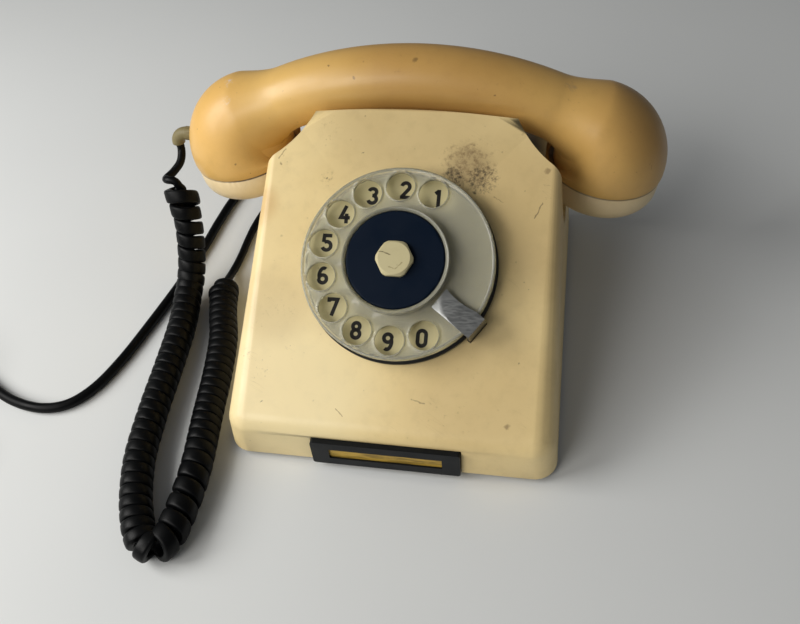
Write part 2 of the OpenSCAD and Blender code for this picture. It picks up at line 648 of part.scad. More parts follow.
module centre_cap() {
    color(CREAM) placed() on_face(0, 0, disc_top) intersection() {
        rotate([0, 0, 30]) cylinder(r = cap_r, h = 2.7, $fn = 6);
        rotate_extrude() polygon([[0, 0], [cap_r - 0.5, 0], [cap_r - 0.5, 1.6], [cap_r - 1.7, 2.7], [0, 2.7]]);
    }
}
module dial_shaft() {
    color(STEEL) placed() on_face(0, 0, bearing_top - bearing_t - 1) cylinder(r = shaft_r, h = wheel_top + 2.9
        - bearing_top + bearing_t + 1);
}
module drive_gear() {
    color(BRASS) placed() on_face(0, 0, drive_high - gear_t) difference() {
        union() {
            gear(drive_m, drive_teeth, gear_t);
            cylinder(r = shaft_r + 2.5, h = 2.4);
        }
        translate([0, 0, -1]) cylinder(r = shaft_r + 0.02, h = 8);
        for (a = [0 : 72 : 288]) round_turn(a, 12.5, -1) cylinder(r = 4, h = 8);
    }
}
cam_lobes = 10;
module pulse_cam() {
    color([0.25, 0.16, 0.10]) placed() on_face(0, 0, cam_low) difference() {
        linear_extrude(1.5) polygon([for (i = [0 : cam_lobes - 1], q = [[0, 0], [0.12, 1], [0.5, 1], [0.62, 0]])
            (cam_r - 1.6 + 1.6 * q[1]) * [cos(finger_first + (i + q[0]) * finger_step),
                sin(finger_first + (i + q[0]) * finger_step)]]);
        translate([0, 0, -1]) cylinder(r = shaft_r + 0.02, h = 4);
    }
}
module idler_gear() {
    color(STEEL) placed() on_face(idler_at[0], idler_at[1], 0) {
        translate([0, 0, bearing_top - bearing_t - 0.4])
            cylinder(r = arbor_r, h = frame_low + floor_t + 0.4 - bearing_top + bearing_t + 0.4);
        difference() {
            translate([0, 0, fast_low]) gear(fast_m, fast_teeth, gear_t);
            for (a = [0 : 60 : 300]) round_turn(a, 7.4, fast_low - 1) cylinder(r = 2, h = gear_t + 2);
        }
        translate([0, 0, fast_low]) cylinder(r = 2.6, h = drive_high - gear_t - fast_low);
        translate([0, 0, drive_high - gear_t - 0.2]) rotate([0, 0, pinion_turn])
            gear(drive_m, pinion_teeth, gear_t + 0.4);
    }
}
// A pinion meshes when its gap faces the other gear's tooth along the line of centres
function mesh_angle(line, other_teeth, other_turn, teeth) = let (
    phase = (line - other_turn) * other_teeth / 360,
    lead = phase - floor(phase))
    line + 180 + (0.5 + lead) * 360 / teeth;
pinion_turn = mesh_angle(idler_angle, drive_teeth, 0, pinion_teeth);
governor_turn = mesh_angle(governor_angle, fast_teeth, 0, governor_teeth);
module governor_spindle() {
    color(STEEL) placed() on_face(governor_at[0], governor_at[1], 0) {
        translate([0, 0, bearing_top - bearing_t - 0.4])
            cylinder(r = spindle_r, h = frame_low + floor_t + 0.4 - bearing_top + bearing_t + 0.4);
        translate([0, 0, fast_low - 0.2]) rotate([0, 0, governor_turn]) gear(fast_m, governor_teeth, gear_t + 0.4);
    }
}
carrier_low = fast_low - 1.1;
module governor_carrier() {
    color(BRASS) placed() on_face(governor_at[0], governor_at[1], carrier_low) difference() {
        union() {
            cylinder(r = 2, h = 0.8);
            translate([-weight_pin_at, -1.3, 0]) cube([2 * weight_pin_at, 2.6, 0.8]);
            for (x = [-1, 1]) translate([x * weight_pin_at, 0, -3.4]) {
                cylinder(r = weight_pin_r, h = 3.5);
                translate([0, 0, 3.4]) cylinder(r = 1.3, h = 0.8);
            }
        }
        translate([0, 0, -1]) cylinder(r = spindle_r + 0.02, h = 3);
    }
}
// A half-moon weight, hung on the carrier's pin at one end
module governor_weight() {
    eye = weight_pin_r + 1;
    difference() {
        union() {
            intersection() {
                cylinder(r = weight_r, h = 3.2);
                translate([-weight_pin_at, 0.5, 0]) cube([2 * weight_pin_at - 1, weight_r, 3.2]);
            }
            translate([-weight_pin_at, 0, 0]) cylinder(r = eye, h = 3.2);
        }
        translate([0, 0, -1]) cylinder(r = 3.2, h = 6);
        translate([-weight_pin_at, 0, -1]) cylinder(r = weight_pin_r + run_gap, h = 6);
        translate([weight_pin_at, 0, -1]) cylinder(r = eye + fit_gap, h = 6);
    }
}
module weight_a() {
    color(STEEL) placed() on_face(governor_at[0], governor_at[1], carrier_low - 3.5) governor_weight();
}
module weight_b() {
    color(STEEL) placed() on_face(governor_at[0], governor_at[1], carrier_low - 3.5) rotate([0, 0, 180]) governor_weight();
}

// ---- Cradle switch ----
function grip_low(x) = grip_centre_z + sqrt(pow(grip_arc_r - grip_half_h, 2) - x * x);
plunger_top = grip_low(plunger_x + plunger_r + abs(handset_shift)) - seat_gap;
bridge_low = 66;
bridge_t = 3;
module cradle_plungers() {
    color(CREAM) placed() both_sides() translate([plunger_x, handset_y, bridge_low + bridge_t]) rotate_extrude()
        polygon([[0, 0], [plunger_r, 0], [plunger_r, plunger_top - 0.8 - bridge_low - bridge_t],
            [plunger_r - 0.8, plunger_top - bridge_low - bridge_t], [0, plunger_top - bridge_low - bridge_t]]);
}
module plunger_bridge() {
    color(BLACK) placed() translate([0, handset_y, bridge_low]) {
        translate([-plunger_x - 4, -4, 0]) cube([2 * plunger_x + 8, 8, bridge_t]);
    }
}
hook_at = [dial_y + 55.16, 62.5];
lever_low = 63.4;
lever_t = 2.2;
lever_half = 8.4;
hook_pin_r = 1.5;
post_y = dial_y + 44.16;
lever_reach = 9.5;                 // from the pin to the lever's front edge
module hook_lever() {
    color(GREY) placed() difference() {
        union() {
            translate([-lever_half, hook_at[0] - lever_reach, lever_low])
                cube([2 * lever_half, handset_y + 1.5 - hook_at[0] + lever_reach, lever_t]);
            both_sides() translate([lever_half - 2.6, hook_at[0], hook_at[1]]) rotate([0, 90, 0])
                cylinder(r = 2.8, h = 2.6);
        }
        translate([-4.6, hook_at[0] - 4.5, lever_low - 5]) cube([9.2, 9, 10]);
        translate([-20, hook_at[0], hook_at[1]]) rotate([0, 90, 0]) cylinder(r = hook_pin_r + run_gap, h = 40);
    }
}
ear_x = [9, 10.5];
post_w = 12;
post_foot = [28, 11, 1.6];
contact_low = 58.8;
module hook_bracket() {
    color(STEEL) placed() {
        translate([-post_w / 2, post_y, foot_h + base_t]) cube([post_w, 2.5, contact_low - foot_h - base_t]);
        translate([-post_foot[0] / 2, post_y + 2 - post_foot[1], foot_h + base_t]) cube(post_foot);
        translate([-ear_x[1], post_y, contact_low - 3]) cube([2 * ear_x[1], 2.5, 3]);
        both_sides() translate([ear_x[0], post_y, contact_low - 3])
            cube([ear_x[1] - ear_x[0], hook_at[0] + 4 - post_y, hook_at[1] + 3.5 - contact_low + 3]);
        translate([-ear_x[1] - 1, hook_at[0], hook_at[1]]) rotate([0, 90, 0])
            cylinder(r = hook_pin_r, h = 2 * ear_x[1] + 2);
    }
}
hook_wire = 0.7;
module hook_spring() {
    color(STEEL) placed() {
        for (i = [-3 : 3]) translate([i * 0.62, hook_at[0], hook_at[1]]) rotate([0, 90, 0])
            rotate_extrude() translate([hook_pin_r + 0.3 + hook_wire / 2, 0]) circle(r = hook_wire / 2);
        translate([3 * 0.62, hook_at[0] - 0.5, hook_at[1] - hook_pin_r - 0.3 - hook_wire / 2]) rotate([90, 0, 0])
            cylinder(r = hook_wire / 2, h = 6.4);
    }
}
// Two leaves between three insulators, reaching under the lever's tail
module hook_contacts() {
    placed() translate([-5, post_y, contact_low]) {
        color([0.25, 0.16, 0.10]) cube([10, 4, 0.5]);
        color(BRASS) translate([1, -1.2, 0.5]) cube([8, 7, 0.35]);
        color([0.25, 0.16, 0.10]) translate([0, 0, 0.85]) cube([10, 3.4, 0.3]);
        color(BRASS) translate([1, -1.2, 1.15]) cube([8, 5, 0.35]);
    }
}

// ---- Ringer ----
yoke_size = [36, 12, 3];
spool_h = 14.4;
spool_r = 8;
core_x = 11;
core_top = 26.6;
arm_low = 27.8;
rock_z = 29;
gong_low = 37;
gong_small_r = gong_r - 0.5;
module ringer_yoke() {
    color(STEEL) placed() {
        translate([-yoke_size[0] / 2, ringer_y - yoke_size[1] / 2, yoke_z]) cube(yoke_size);
        both_sides() translate([core_x, ringer_y, yoke_z]) cylinder(r = 3, h = core_top - yoke_z);
    }
}
module ringer_coils() {
    color([0.50, 0.22, 0.08]) placed() both_sides() translate([core_x, ringer_y, yoke_z + yoke_size[2]]) rotate_extrude()
        polygon([[3.1, 0], [spool_r, 0], [spool_r, 1], [spool_r - 0.8, 1], [spool_r - 0.8, spool_h - 1],
            [spool_r, spool_h - 1], [spool_r, spool_h], [3.1, spool_h]]);
}
module ringer_bracket() {
    color(STEEL) placed() difference() {
        union() {
            translate([-2.6, ringer_y - 7.2, yoke_z + 3]) cube([5.2, 14.4, 1.2]);
            for (y = [ringer_y - 7.2, ringer_y + 6]) translate([-2.6, y, yoke_z + 3])
                cube([5.2, 1.2, rock_z + 2.2 - yoke_z - 3]);
        }
        translate([0, ringer_y + 10, rock_z]) rotate([90, 0, 0]) cylinder(r = 0.8 + run_gap, h = 20);
    }
}
module clapper() {
    color(STEEL) placed() {
        difference() {
            translate([-15, ringer_y - 4, arm_low]) cube([30, 8, 2.5]);
            both_sides() translate([17, ringer_y, arm_low - 1]) cylinder(r = 4, h = 5);
        }
        translate([0, ringer_y + 7.8, rock_z]) rotate([90, 0, 0]) cylinder(r = 0.8, h = 15.6);
        translate([0, ringer_y, arm_low + 2]) cylinder(r = 0.9, h = gong_low + 7 - arm_low - 2);
        translate([0, ringer_y, gong_low + 7]) sphere(r = hammer_r);
    }
}
module gong(r) {
    rotate_extrude() polygon(concat([[2.2, gong_h - 1], [2.2, gong_h]],
        [for (a = [90 : -15 : 0]) [2.2 + (r - 2.2) * pow(cos(a), 0.5), gong_h * (0.35 + 0.65 * pow(sin(a), 0.7))]],
        [[r, 0], [r - 1, 0]],
        [for (a = [0 : 15 : 90]) [2.2 + (r - 3.2) * pow(cos(a), 0.5), gong_h * 0.35 + (gong_h * 0.65 - 1) * pow(sin(a), 0.7)]]));
}
module gong_large() {
    color(BRASS) placed() translate([-gong_gap - gong_r, ringer_y, gong_low]) gong(gong_r);
}
module gong_small() {
    color(BRASS) placed() translate([gong_gap + gong_small_r, ringer_y, gong_low]) gong(gong_small_r);
}
module gong_posts() {
    color(STEEL) placed() for (x = [-gong_gap - gong_r, gong_gap + gong_small_r]) translate([x, ringer_y, foot_h + base_t]) {
        cylinder(r = 3, h = gong_low + gong_h - 1 - foot_h - base_t);
        cylinder(r = 2, h = gong_low + gong_h + 0.2 - foot_h - base_t);
        translate([0, 0, gong_low + gong_h - foot_h - base_t]) cylinder(r = 3.4, h = 1.8);
    }
}

// ---- Circuit ----
module circuit_board() {
    color([0.45, 0.33, 0.16]) placed() translate([board_at[0] - board_size[0] / 2, board_at[1] - board_size[1] / 2, board_z])
        cube(board_size);
}
board_top = board_z + board_size[2];
module induction_coil() {
    color(STEEL) placed() translate([board_at[0] - 34, board_at[1] - 16, board_top]) difference() {
        cube([24, 15, 14]);
        translate([4, -1, 3]) cube([16, 3, 8]);
        translate([4, 13, 3]) cube([16, 3, 8]);
    }
    color([0.50, 0.22, 0.08]) placed() translate([board_at[0] - 29.8, board_at[1] - 15.8, board_top + 3.2]) cube([15.6, 14.6, 7.6]);
}
module capacitor() {
    color([0.75, 0.62, 0.20]) placed() translate([board_at[0] - 2, board_at[1] - 14, board_top]) rounded_box([22, 9, 12], 1.5);
}
module rounded_box(size, r) {
    translate([size[0] / 2, size[1] / 2, 0]) rounded_plate(size[0], size[1], r, size[2]);
}
module terminal_block() {
    color(BLACK) placed() translate([board_at[0] + 26, board_at[1] - 16, board_top]) difference() {
        cube([13, 30, 8]);
        for (y = [4 : 7.3 : 28]) translate([6.5, y, 4]) cylinder(r = 2.4, h = 5);
    }
    color(BRASS) placed() for (y = [4 : 7.3 : 28]) translate([board_at[0] + 32.5, board_at[1] - 16 + y, board_top + 4]) cylinder(r = 2.1, h = 2.6);
}

// ---- Handset ----
module handset_skin() {
    steps = [for (i = [0 : shell_rings]) half_len * (i / shell_rings)];
    rings = concat([pocket_ring(pocket_deep, 1), pocket_ring(0, 1)],
        [for (i = [0 : shell_rings - 1]) skin_ring(steps[i], 1)],
        [for (i = [shell_rings : -1 : 0]) skin_ring(steps[i], -1)],
        [pocket_ring(0, -1), pocket_ring(pocket_deep, -1)]);
    n = len(rings);
    k = shell_sides;
    faces = [for (i = [0 : n - 2], j = [0 : k - 1]) let (a = i * k + j, b = i * k + (j + 1) % k)
        [a, b, b + k, a + k]];
    polyhedron([for (r = rings) each r], concat(faces, [[for (j = [k - 1 : -1 : 0]) j]],
        [[for (j = [0 : k - 1]) (n - 1) * k + j]]), convexity = 10);
}
module handset_shell() {
    color(AMBER) placed() translate([handset_shift, handset_y, 0]) handset_skin();
}
// A cap: a collar that screws into the pocket, over a round-rimmed cup with sound holes
module screwed_cap(holes) {
    inner = pocket_r - 1.6;
    difference() {
        rotate_extrude() difference() {
            union() {
                translate([0, -cap_h]) square([cup_r - cap_round, cap_h]);
                translate([0, -cap_h + cap_round]) square([cup_r, cap_h - cap_round]);
                translate([inner, -1]) square([pocket_r - 0.2 - inner, 6]);
                intersection() {
                    translate([cup_r - cap_round, -cap_h + cap_round]) circle(r = cap_round);
                    translate([cup_r - cap_round, -cap_h]) square([cap_round, cap_round]);
                }
            }
            translate([-1, -cap_h + cap_t]) square([inner - 4.5, cap_h + 20]);
            translate([-1, -cap_h + cap_step]) square([inner + 1, cap_h + 20]);
        }
        for (i = [0 : holes - 1]) round_turn(360 * i / holes, 7, -cap_h - 1) cylinder(r = 1.2, h = 5);
        translate([0, 0, -cap_h - 1]) cylinder(r = 1.2, h = 5);
    }
}
cap_t = 2.4;
cap_step = 8;
module ear_cap() {
    color(CREAM) placed() at_cup(1) screwed_cap(6);
}
module mouth_cap() {
    color(CREAM) placed() at_cup(-1) screwed_cap(8);
}
// A capsule: its narrow front lies on the cap's floor, its flange on the cap's step
module capsule(flange_h) {
    front_r = pocket_r - 1.6 - 5.5 - fit_gap;
    flange_r = pocket_r - 1.6 - fit_gap;
    rotate_extrude() polygon([[0, -cap_h + cap_t], [front_r, -cap_h + cap_t], [front_r, -cap_h + cap_step],
        [flange_r, -cap_h + cap_step], [flange_r, -cap_h + cap_step + flange_h],
        [front_r - 3, -cap_h + cap_step + flange_h + 2], [0, -cap_h + cap_step + flange_h + 2]]);
}
module receiver_capsule() {
    color(STEEL) placed() at_cup(1) capsule(6);
}
module microphone_capsule() {
    color(BLACK) placed() at_cup(-1) capsule(4.5);
}
gland_root = [-111, 49, 71];
gland_bend = 5.5;
gland_tip = lead_route[0] + [0, 0, fit_gap];
module handset_gland() {
    color([0.45, 0.43, 0.30]) placed() {
        translate([gland_tip[0] + gland_bend, gland_root[1], gland_root[2]]) rotate([0, 90, 0])
            cylinder(r = 3.4, h = gland_root[0] - 1 - gland_tip[0] - gland_bend);
        translate([gland_tip[0] + gland_bend, gland_root[1], gland_root[2] - gland_bend]) rotate([90, 0, 0])
            rotate([0, 0, 90]) rotate_extrude(angle = 90) translate([gland_bend, 0]) circle(r = 3.2);
    }
}

// ---- Cords ----
module handset_lead() {
    color(BLACK) placed() tube(lead_route, wire_d, 1, 8, [1, 0, 0]);
}
module handset_cord() {
    color(BLACK) placed() tube(coil_route, coil_d, 1, 12);
}
module handset_tail() {
    color(BLACK) placed() tube(tail_route, wire_d, 2, 8);
}
module cord_gland(x, r_tip) {
    flange_y = back_y(gland_z) - wall / cos(back_draft) - 2.2;
    color(BLACK) placed() translate([x, flange_y, gland_z]) rotate([-90, 0, 0]) rotate_extrude()
        polygon([[0, 0], [5.6, 0], [5.6, 1.8], [gland_hole_r - 0.15, 1.8], [gland_hole_r - 0.15, 5.6],
            [gland_hole_r, 6], [r_tip, gland_out - flange_y], [0, gland_out - flange_y]]);
}
module handset_cord_gland() {
    cord_gland(gland_x[0], wire_d / 2 + 0.6);
}
module line_cord_gland() {
    cord_gland(gland_x[1], line_d / 2 + 0.6);
}
module line_cord() {
    color(BLACK) placed() {
        tube(line_route, line_d, 2, 8);
        tube(plug_route, line_d, 2, 8);
    }
}
module line_cord_coil() {
    color(BLACK) placed() translate([coil_at[0], coil_at[1], coil_low]) rotate_extrude()
        translate([coil_mean_r - coil_rows / 2 * line_d, 0]) square([coil_rows * line_d, coil_layers * line_d]);
}
tie_w = 4;
tie_t = 0.8;
tie_play = 0.15;
module cord_tie() {
    bundle_w = coil_rows * line_d;
    color([0.75, 0.74, 0.70]) placed() translate([coil_at[0] - coil_mean_r - bundle_w / 2 - tie_t,
        coil_at[1] - tie_w / 2, coil_low - tie_t]) difference() {
        cube([bundle_w + tie_play + 2 * tie_t, tie_w, coil_layers * line_d + 2 * tie_t]);
        translate([tie_t, -1, tie_t]) cube([bundle_w + tie_play, tie_w + 2, coil_layers * line_d]);
    }
}
module line_plug() {
    color(BLACK) placed() translate(plug_route[len(plug_route) - 1]) {
        rotate([0, 90, 0]) cylinder(r = 3.6, h = 9);
        translate([8, -10, -7]) cube([20, 20, 14]);
    }
    color(BRASS) placed() for (y = [-5.5, 0, 5.5]) translate(plug_route[len(plug_route) - 1] + [27, y - 0.6, -2.5])
        cube([11, 1.2, 5]);
}

housing();
base_plate();
feet();
base_screws();
label_frame();
label_strip();
dial_surround();
number_plate();
finger_stop();
dial_frame();
bearing_plate();
dial_screws();
return_spring();
pulse_contacts();
governor_cup();
finger_wheel();
wheel_hub();
hub_nut();
centre_disc();
centre_cap();
dial_shaft();
drive_gear();
pulse_cam();
idler_gear();
governor_spindle();
governor_carrier();
weight_a();
weight_b();
cradle_plungers();
plunger_bridge();
hook_lever();
hook_bracket();
hook_spring();
hook_contacts();
ringer_yoke();
ringer_coils();
ringer_bracket();
clapper();
gong_large();
gong_small();
gong_posts();
circuit_board();
induction_coil();
capacitor();
terminal_block();
handset_shell();
ear_cap();
mouth_cap();
receiver_capsule();
microphone_capsule();
handset_gland();
handset_lead();
handset_cord();
handset_tail();
handset_cord_gland();
line_cord_gland();
line_cord();
line_cord_coil();
cord_tie();
line_plug();
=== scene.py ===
"""A rotary desk telephone, dressed: surfaces, finishes, cords, floor, lamps and camera."""
import json
import math

import bmesh
import bpy
import numpy as np
from mathutils import Matrix, Vector


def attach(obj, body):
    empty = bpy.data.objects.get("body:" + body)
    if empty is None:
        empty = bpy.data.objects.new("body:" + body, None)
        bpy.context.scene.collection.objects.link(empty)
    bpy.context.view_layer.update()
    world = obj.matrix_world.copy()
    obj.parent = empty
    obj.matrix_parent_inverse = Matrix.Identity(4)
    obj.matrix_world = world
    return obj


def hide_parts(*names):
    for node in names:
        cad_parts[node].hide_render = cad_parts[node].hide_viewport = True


bl_info = {
    "name": "Rotary Telephone Dressing",
    "version": (1, 0, 0),
    "blender": (4, 5, 0),
    "location": "3D View > Sidebar > Telephone",
    "description": "Builds the visible surfaces and finishes of a rotary desk telephone",
    "category": "Object",
}

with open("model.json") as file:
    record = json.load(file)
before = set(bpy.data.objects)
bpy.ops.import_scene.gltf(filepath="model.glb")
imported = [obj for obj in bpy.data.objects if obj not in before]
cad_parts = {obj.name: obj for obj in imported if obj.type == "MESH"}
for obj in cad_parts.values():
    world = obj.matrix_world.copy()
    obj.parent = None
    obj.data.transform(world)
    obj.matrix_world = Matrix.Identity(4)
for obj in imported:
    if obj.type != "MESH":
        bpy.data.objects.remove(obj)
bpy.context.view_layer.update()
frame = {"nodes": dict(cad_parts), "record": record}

# ---- Sizes that the pieces share, in millimetres ----
FACE_TILT = math.radians(33.1)  # slope of the housing's face
DIAL_AT = np.array([3.0, -25.16, 61.14])
FIGURE_RING = 32.4
FIRST_HOLE, HOLE_STEP = 67.5, 25.3  # degrees, counted from the right
PLATE_TOP = 4.1
FIGURE_TURN = 2.5  # degrees that each figure lies past its hole's middle
FIGURE_LINE = 0.205  # thickness of a figure's line, as a share of its height
CAP_TURN = 30.0  # degrees that put the hexagon's flats above and below

CUP_X, SEAM_H, CUP_LEAN = 86.3, 60.0, math.radians(8.6)
CUP_R, BULB_R, BEND_R, GRIP_ARC_R = 26.9, 27.4, 18.3, 156.2
GRIP_HALF_H, GRIP_HALF_D, CUP_STRAIGHT, BLEND_LEN = 14.4, 15.4, 3.3, 41.5
HANDSET_Y = 53.5
CAP_WALL, POCKET_DEPTH = 3.3, 13.0
RIM_IN, RIM_HIGH = 0.45, 0.6  # rounding of the shell's rim at a seam

LEAD_ROUTE = [(-120.5, 49, 65.2), (-120.3, 48.6, 61), (-120.0, 43.5, 57.5), (-122.6, 38.2, 55.0),
              (-124.6, 33.6, 54.6), (-122.4, 30.2, 56.4), (-118.6, 29.8, 56.2), (-116.8, 29.5, 53)]
COIL_ROUTE = [(-116.8, 29.5, 53), (-114.4, 24.5, 46), (-113.2, 20.5, 37), (-112.9, 15.8, 27.5), (-113.2, 11, 18.5),
              (-113.6, 5.2, 12), (-113.3, -2, 9), (-111.6, -13, 7.6), (-109.8, -26, 7.2), (-108.0, -48, 7.2),
              (-106.4, -71, 7.2), (-103.6, -95, 7.2), (-99.4, -111, 7.2), (-94.2, -124, 7.2), (-88.0, -134, 7.2),
              (-81.2, -136.6, 7.2), (-77.6, -130.6, 7.2), (-76.6, -119, 7.2), (-76.6, -106, 7.2), (-77.8, -92, 7.2),
              (-80.6, -72, 7.2), (-83.2, -50, 7.2), (-87.0, -28, 7.2), (-92.0, -12, 7.2), (-98, 8, 7.2)]
TAIL_ROUTE = [(-98, 8, 7.2), (-98.3, 15, 4.8), (-98.4, 23, 2.7), (-97.8, 34, 2.1), (-96.9, 60, 2.1), (-92, 82, 2.1),
              (-81, 97, 2.2), (-65, 106, 4), (-52, 108.5, 8), (-43.5, 104, 11.5), (-42, 96, 12)]
LINE_ROUTE = [(-17, 96, 12), (-17.5, 105, 9), (-23, 115, 4), (-37, 122, 2.4), (-59, 123, 2.4),
              (-84, 116, 2.4), (-104, 101, 2.4), (-114.5, 84, 2.4), (-118.2, 62, 2.4), (-120, 42, 2.4),
              (-124, 12, 2.4), (-130, -18, 2.4), (-135.4, -41, 2.4), (-141.8, -58.5, 2.4), (-150.5, -69.3, 2.4),
              (-162, -73.2, 2.4), (-176, -71.4, 2.4), (-189, -66, 2.4), (-207, -55.5, 2.8), (-227, -46.8, 3.2),
              (-250, -42.6, 3.2)]
PLUG_ROUTE = [(-250, -101.4, 17.6), (-240, -103.5, 15), (-232, -107, 10), (-226, -109, 7)]
BUNDLE_AT, BUNDLE_LOW, BUNDLE_R, BUNDLE_TURNS = (-250.0, -72.0), 0.8, 27.0, 7.5
ROW_CHANGE = 0.16  # share of a turn in which the line cord goes over to the next row
FRONT_BEND = (-81.2, -136.6, 7.2)  # where the coiled cord turns back
OPEN_BY = [1.60, 1.50, 1.16, 1.14, 1.5, 1.70, 1.4, 1.0, 0.97]  # pitches from turn to turn, from the handset on
COIL_PHASE = math.pi * 1.05  # how far round its middle the first turn starts
COIL_ENDS = 0.0024, 0.0040  # metres in which the wire swings out from the middle, and back to it


def tint(red, green, blue):
    """A screen colour of 0 to 255 as linear light."""
    c = np.array([red, green, blue]) / 255
    return tuple(float(v) for v in np.where(c <= 0.04045, c / 12.92, ((c + 0.055) / 1.055) ** 2.4))


# ---- Settings that a user would change ----
def distance(name, what, value):
    """A length property with its default, in metres."""
    return bpy.props.FloatProperty(name=name, description=what, default=value, subtype="DISTANCE", unit="LENGTH")


def colour(name, what, value):
    """A colour property with its default."""
    return bpy.props.FloatVectorProperty(name=name, description=what, default=value, size=3, min=0, max=1,
                                         subtype="COLOR")


class TelephoneShape(bpy.types.PropertyGroup):
    coil_radius: distance("Coil radius", "Radius of the coiled cord at the wire's middle", 0.00505)
    wire: distance("Wire", "Thickness of the coiled cord's wire", 0.0037)
    pitch: distance("Pitch", "Advance of one turn of the coiled cord", 0.0047)
    line: distance("Line cord", "Thickness of the line cord", 0.0048)
    figure_height: distance("Figure height", "Height of the figures on the dial plate", 0.0078)


class TelephoneColours(bpy.types.PropertyGroup):
    ivory: colour("Ivory", "Housing, where it has kept its colour", tint(236, 212, 154))
    ivory_aged: colour("Aged ivory", "Housing, where it has yellowed", tint(218, 190, 130))
    amber: colour("Amber", "Handset, on the whole", tint(214, 172, 98))
    amber_aged: colour("Aged amber", "Handset, where hands have darkened it", tint(182, 134, 64))
    cream: colour("Cream", "Screwed caps and the dial's centre", tint(222, 200, 156))
    soil: colour("Soil", "Dirt in marks and seams", tint(70, 52, 30))
    plate: colour("Plate", "Number plate", tint(203, 192, 146))
    ink: colour("Ink", "Figures", tint(26, 24, 22))
    navy: colour("Navy", "Centre disc", tint(2, 16, 33))
    black: colour("Black", "Cords, label frame and dial surround", tint(14, 17, 20))
    card: colour("Card", "Label strip", tint(198, 162, 66))
    olive: colour("Olive", "Sleeve at the handset", tint(122, 112, 78))


class TelephoneStage(bpy.types.PropertyGroup):
    floor: colour("Floor", "Colour of the floor", tint(220, 222, 221))
    key: bpy.props.FloatProperty(name="Lamps", description="Power of each of the two soft lamps", default=5.9,
                                 subtype="POWER", unit="POWER")
    fill: bpy.props.FloatProperty(name="Fill", description="Strength of the light from all round", default=0.13,
                                  min=0)


# ---- Shader helpers ----
def put(tree, kind, links=None, **settings):
    """Adds a node, sets its attributes, and links or sets its inputs."""
    n = tree.nodes.new(kind)
    for key, value in settings.items():
        setattr(n, key, value)
    for key, value in (links or {}).items():
        socket = n.inputs[key]
        if isinstance(value, bpy.types.NodeSocket):
            tree.links.new(value, socket)
        else:
            socket.default_value = (*value[:3], 1.0) if socket.type == "RGBA" else value
    return n


def calc(tree, operation, a, b=0.0, clamp=False):
    """One step of arithmetic on two values."""
    return put(tree, "ShaderNodeMath", {0: a, 1: b}, operation=operation, use_clamp=clamp).outputs[0]


def times(tree, a, b):
    """Product of two values."""
    return calc(tree, "MULTIPLY", a, b)


def vector(tree, operation, a, b=None, scale=None):
    """One step of arithmetic on vectors; a distance and a dot product come out as a value."""
    links = {key: value for key, value in ((0, a), (1, b), ("Scale", scale)) if value is not None}
    n = put(tree, "ShaderNodeVectorMath", links, operation=operation)
    return n.outputs["Value" if operation in ("DISTANCE", "DOT_PRODUCT") else 0]


def spread(tree, value, low, high, out_low=0.0, out_high=1.0, kind="SMOOTHSTEP"):
    """Value carried smoothly from the span low to high onto another span."""
    return put(tree, "ShaderNodeMapRange", {"Value": value, "From Min": low, "From Max": high, "To Min": out_low,
                                            "To Max": out_high}, interpolation_type=kind).outputs["Result"]


def linear(tree, value, low, high):
    """Value carried in a straight line, and clamped, from the span low to high onto 0 to 1."""
    return spread(tree, value, low, high, kind="LINEAR")


def noise(tree, where, scale, detail=3.0, roughness=0.5):
    """Layered noise as a value of 0 to 1."""
    return put(tree, "ShaderNodeTexNoise", {"Vector": where, "Scale": scale, "Detail": detail,
                                            "Roughness": roughness}).outputs[0]


def frayed(tree, where, scale, reach):
    """A place shifted by coloured noise, by up to half the reach either way."""
    wobble = put(tree, "ShaderNodeTexNoise", {"Vector": where, "Scale": scale, "Detail": 2.0}).outputs[1]
    off = vector(tree, "SCALE", vector(tree, "SUBTRACT", wobble, (0.5, 0.5, 0.5)), scale=reach)
    return vector(tree, "ADD", where, off)


def mixed(tree, share, a, b):
    """Colour a, changed towards b by share."""
    return put(tree, "ShaderNodeMix", {0: share, 6: a, 7: b}, data_type="RGBA").outputs[2]


def group(name, inputs, outputs, build):
    """A shader node group, made once; build(tree, inputs) returns its output sockets."""
    tree = bpy.data.node_groups.get(name)
    if tree:
        return tree
    tree = bpy.data.node_groups.new(name, "ShaderNodeTree")
    for label, kind, value in inputs:
        s = tree.interface.new_socket(name=label, in_out="INPUT", socket_type=kind)
        if value is not None:
            s.default_value = value
    for label, kind in outputs:
        tree.interface.new_socket(name=label, in_out="OUTPUT", socket_type=kind)
    entry, way_out = tree.nodes.new("NodeGroupInput"), tree.nodes.new("NodeGroupOutput")
    for label, socket in build(tree, {label: entry.outputs[label] for label, _, _ in inputs}).items():
        tree.links.new(socket, way_out.inputs[label])
    return tree


def use(tree, shared, **inputs):
    """Places a shared group with its own values, and returns its first output."""
    return put(tree, "ShaderNodeGroup", inputs, node_tree=shared).outputs[0]


NUM, VEC = "NodeSocketFloat", "NodeSocketVector"


def stains():
    """Soft broad stains: layered noise between two thresholds."""
    def build(tree, i):
        n = noise(tree, i["Vector"], i["Scale"], 6.0, 0.62)
        return {"Mask": spread(tree, n, i["From"], i["To"])}
    return group("Stains", [("Vector", VEC, None), ("Scale", NUM, 20.0), ("From", NUM, 0.45), ("To", NUM, 0.7)],
                 [("Mask", NUM)], build)


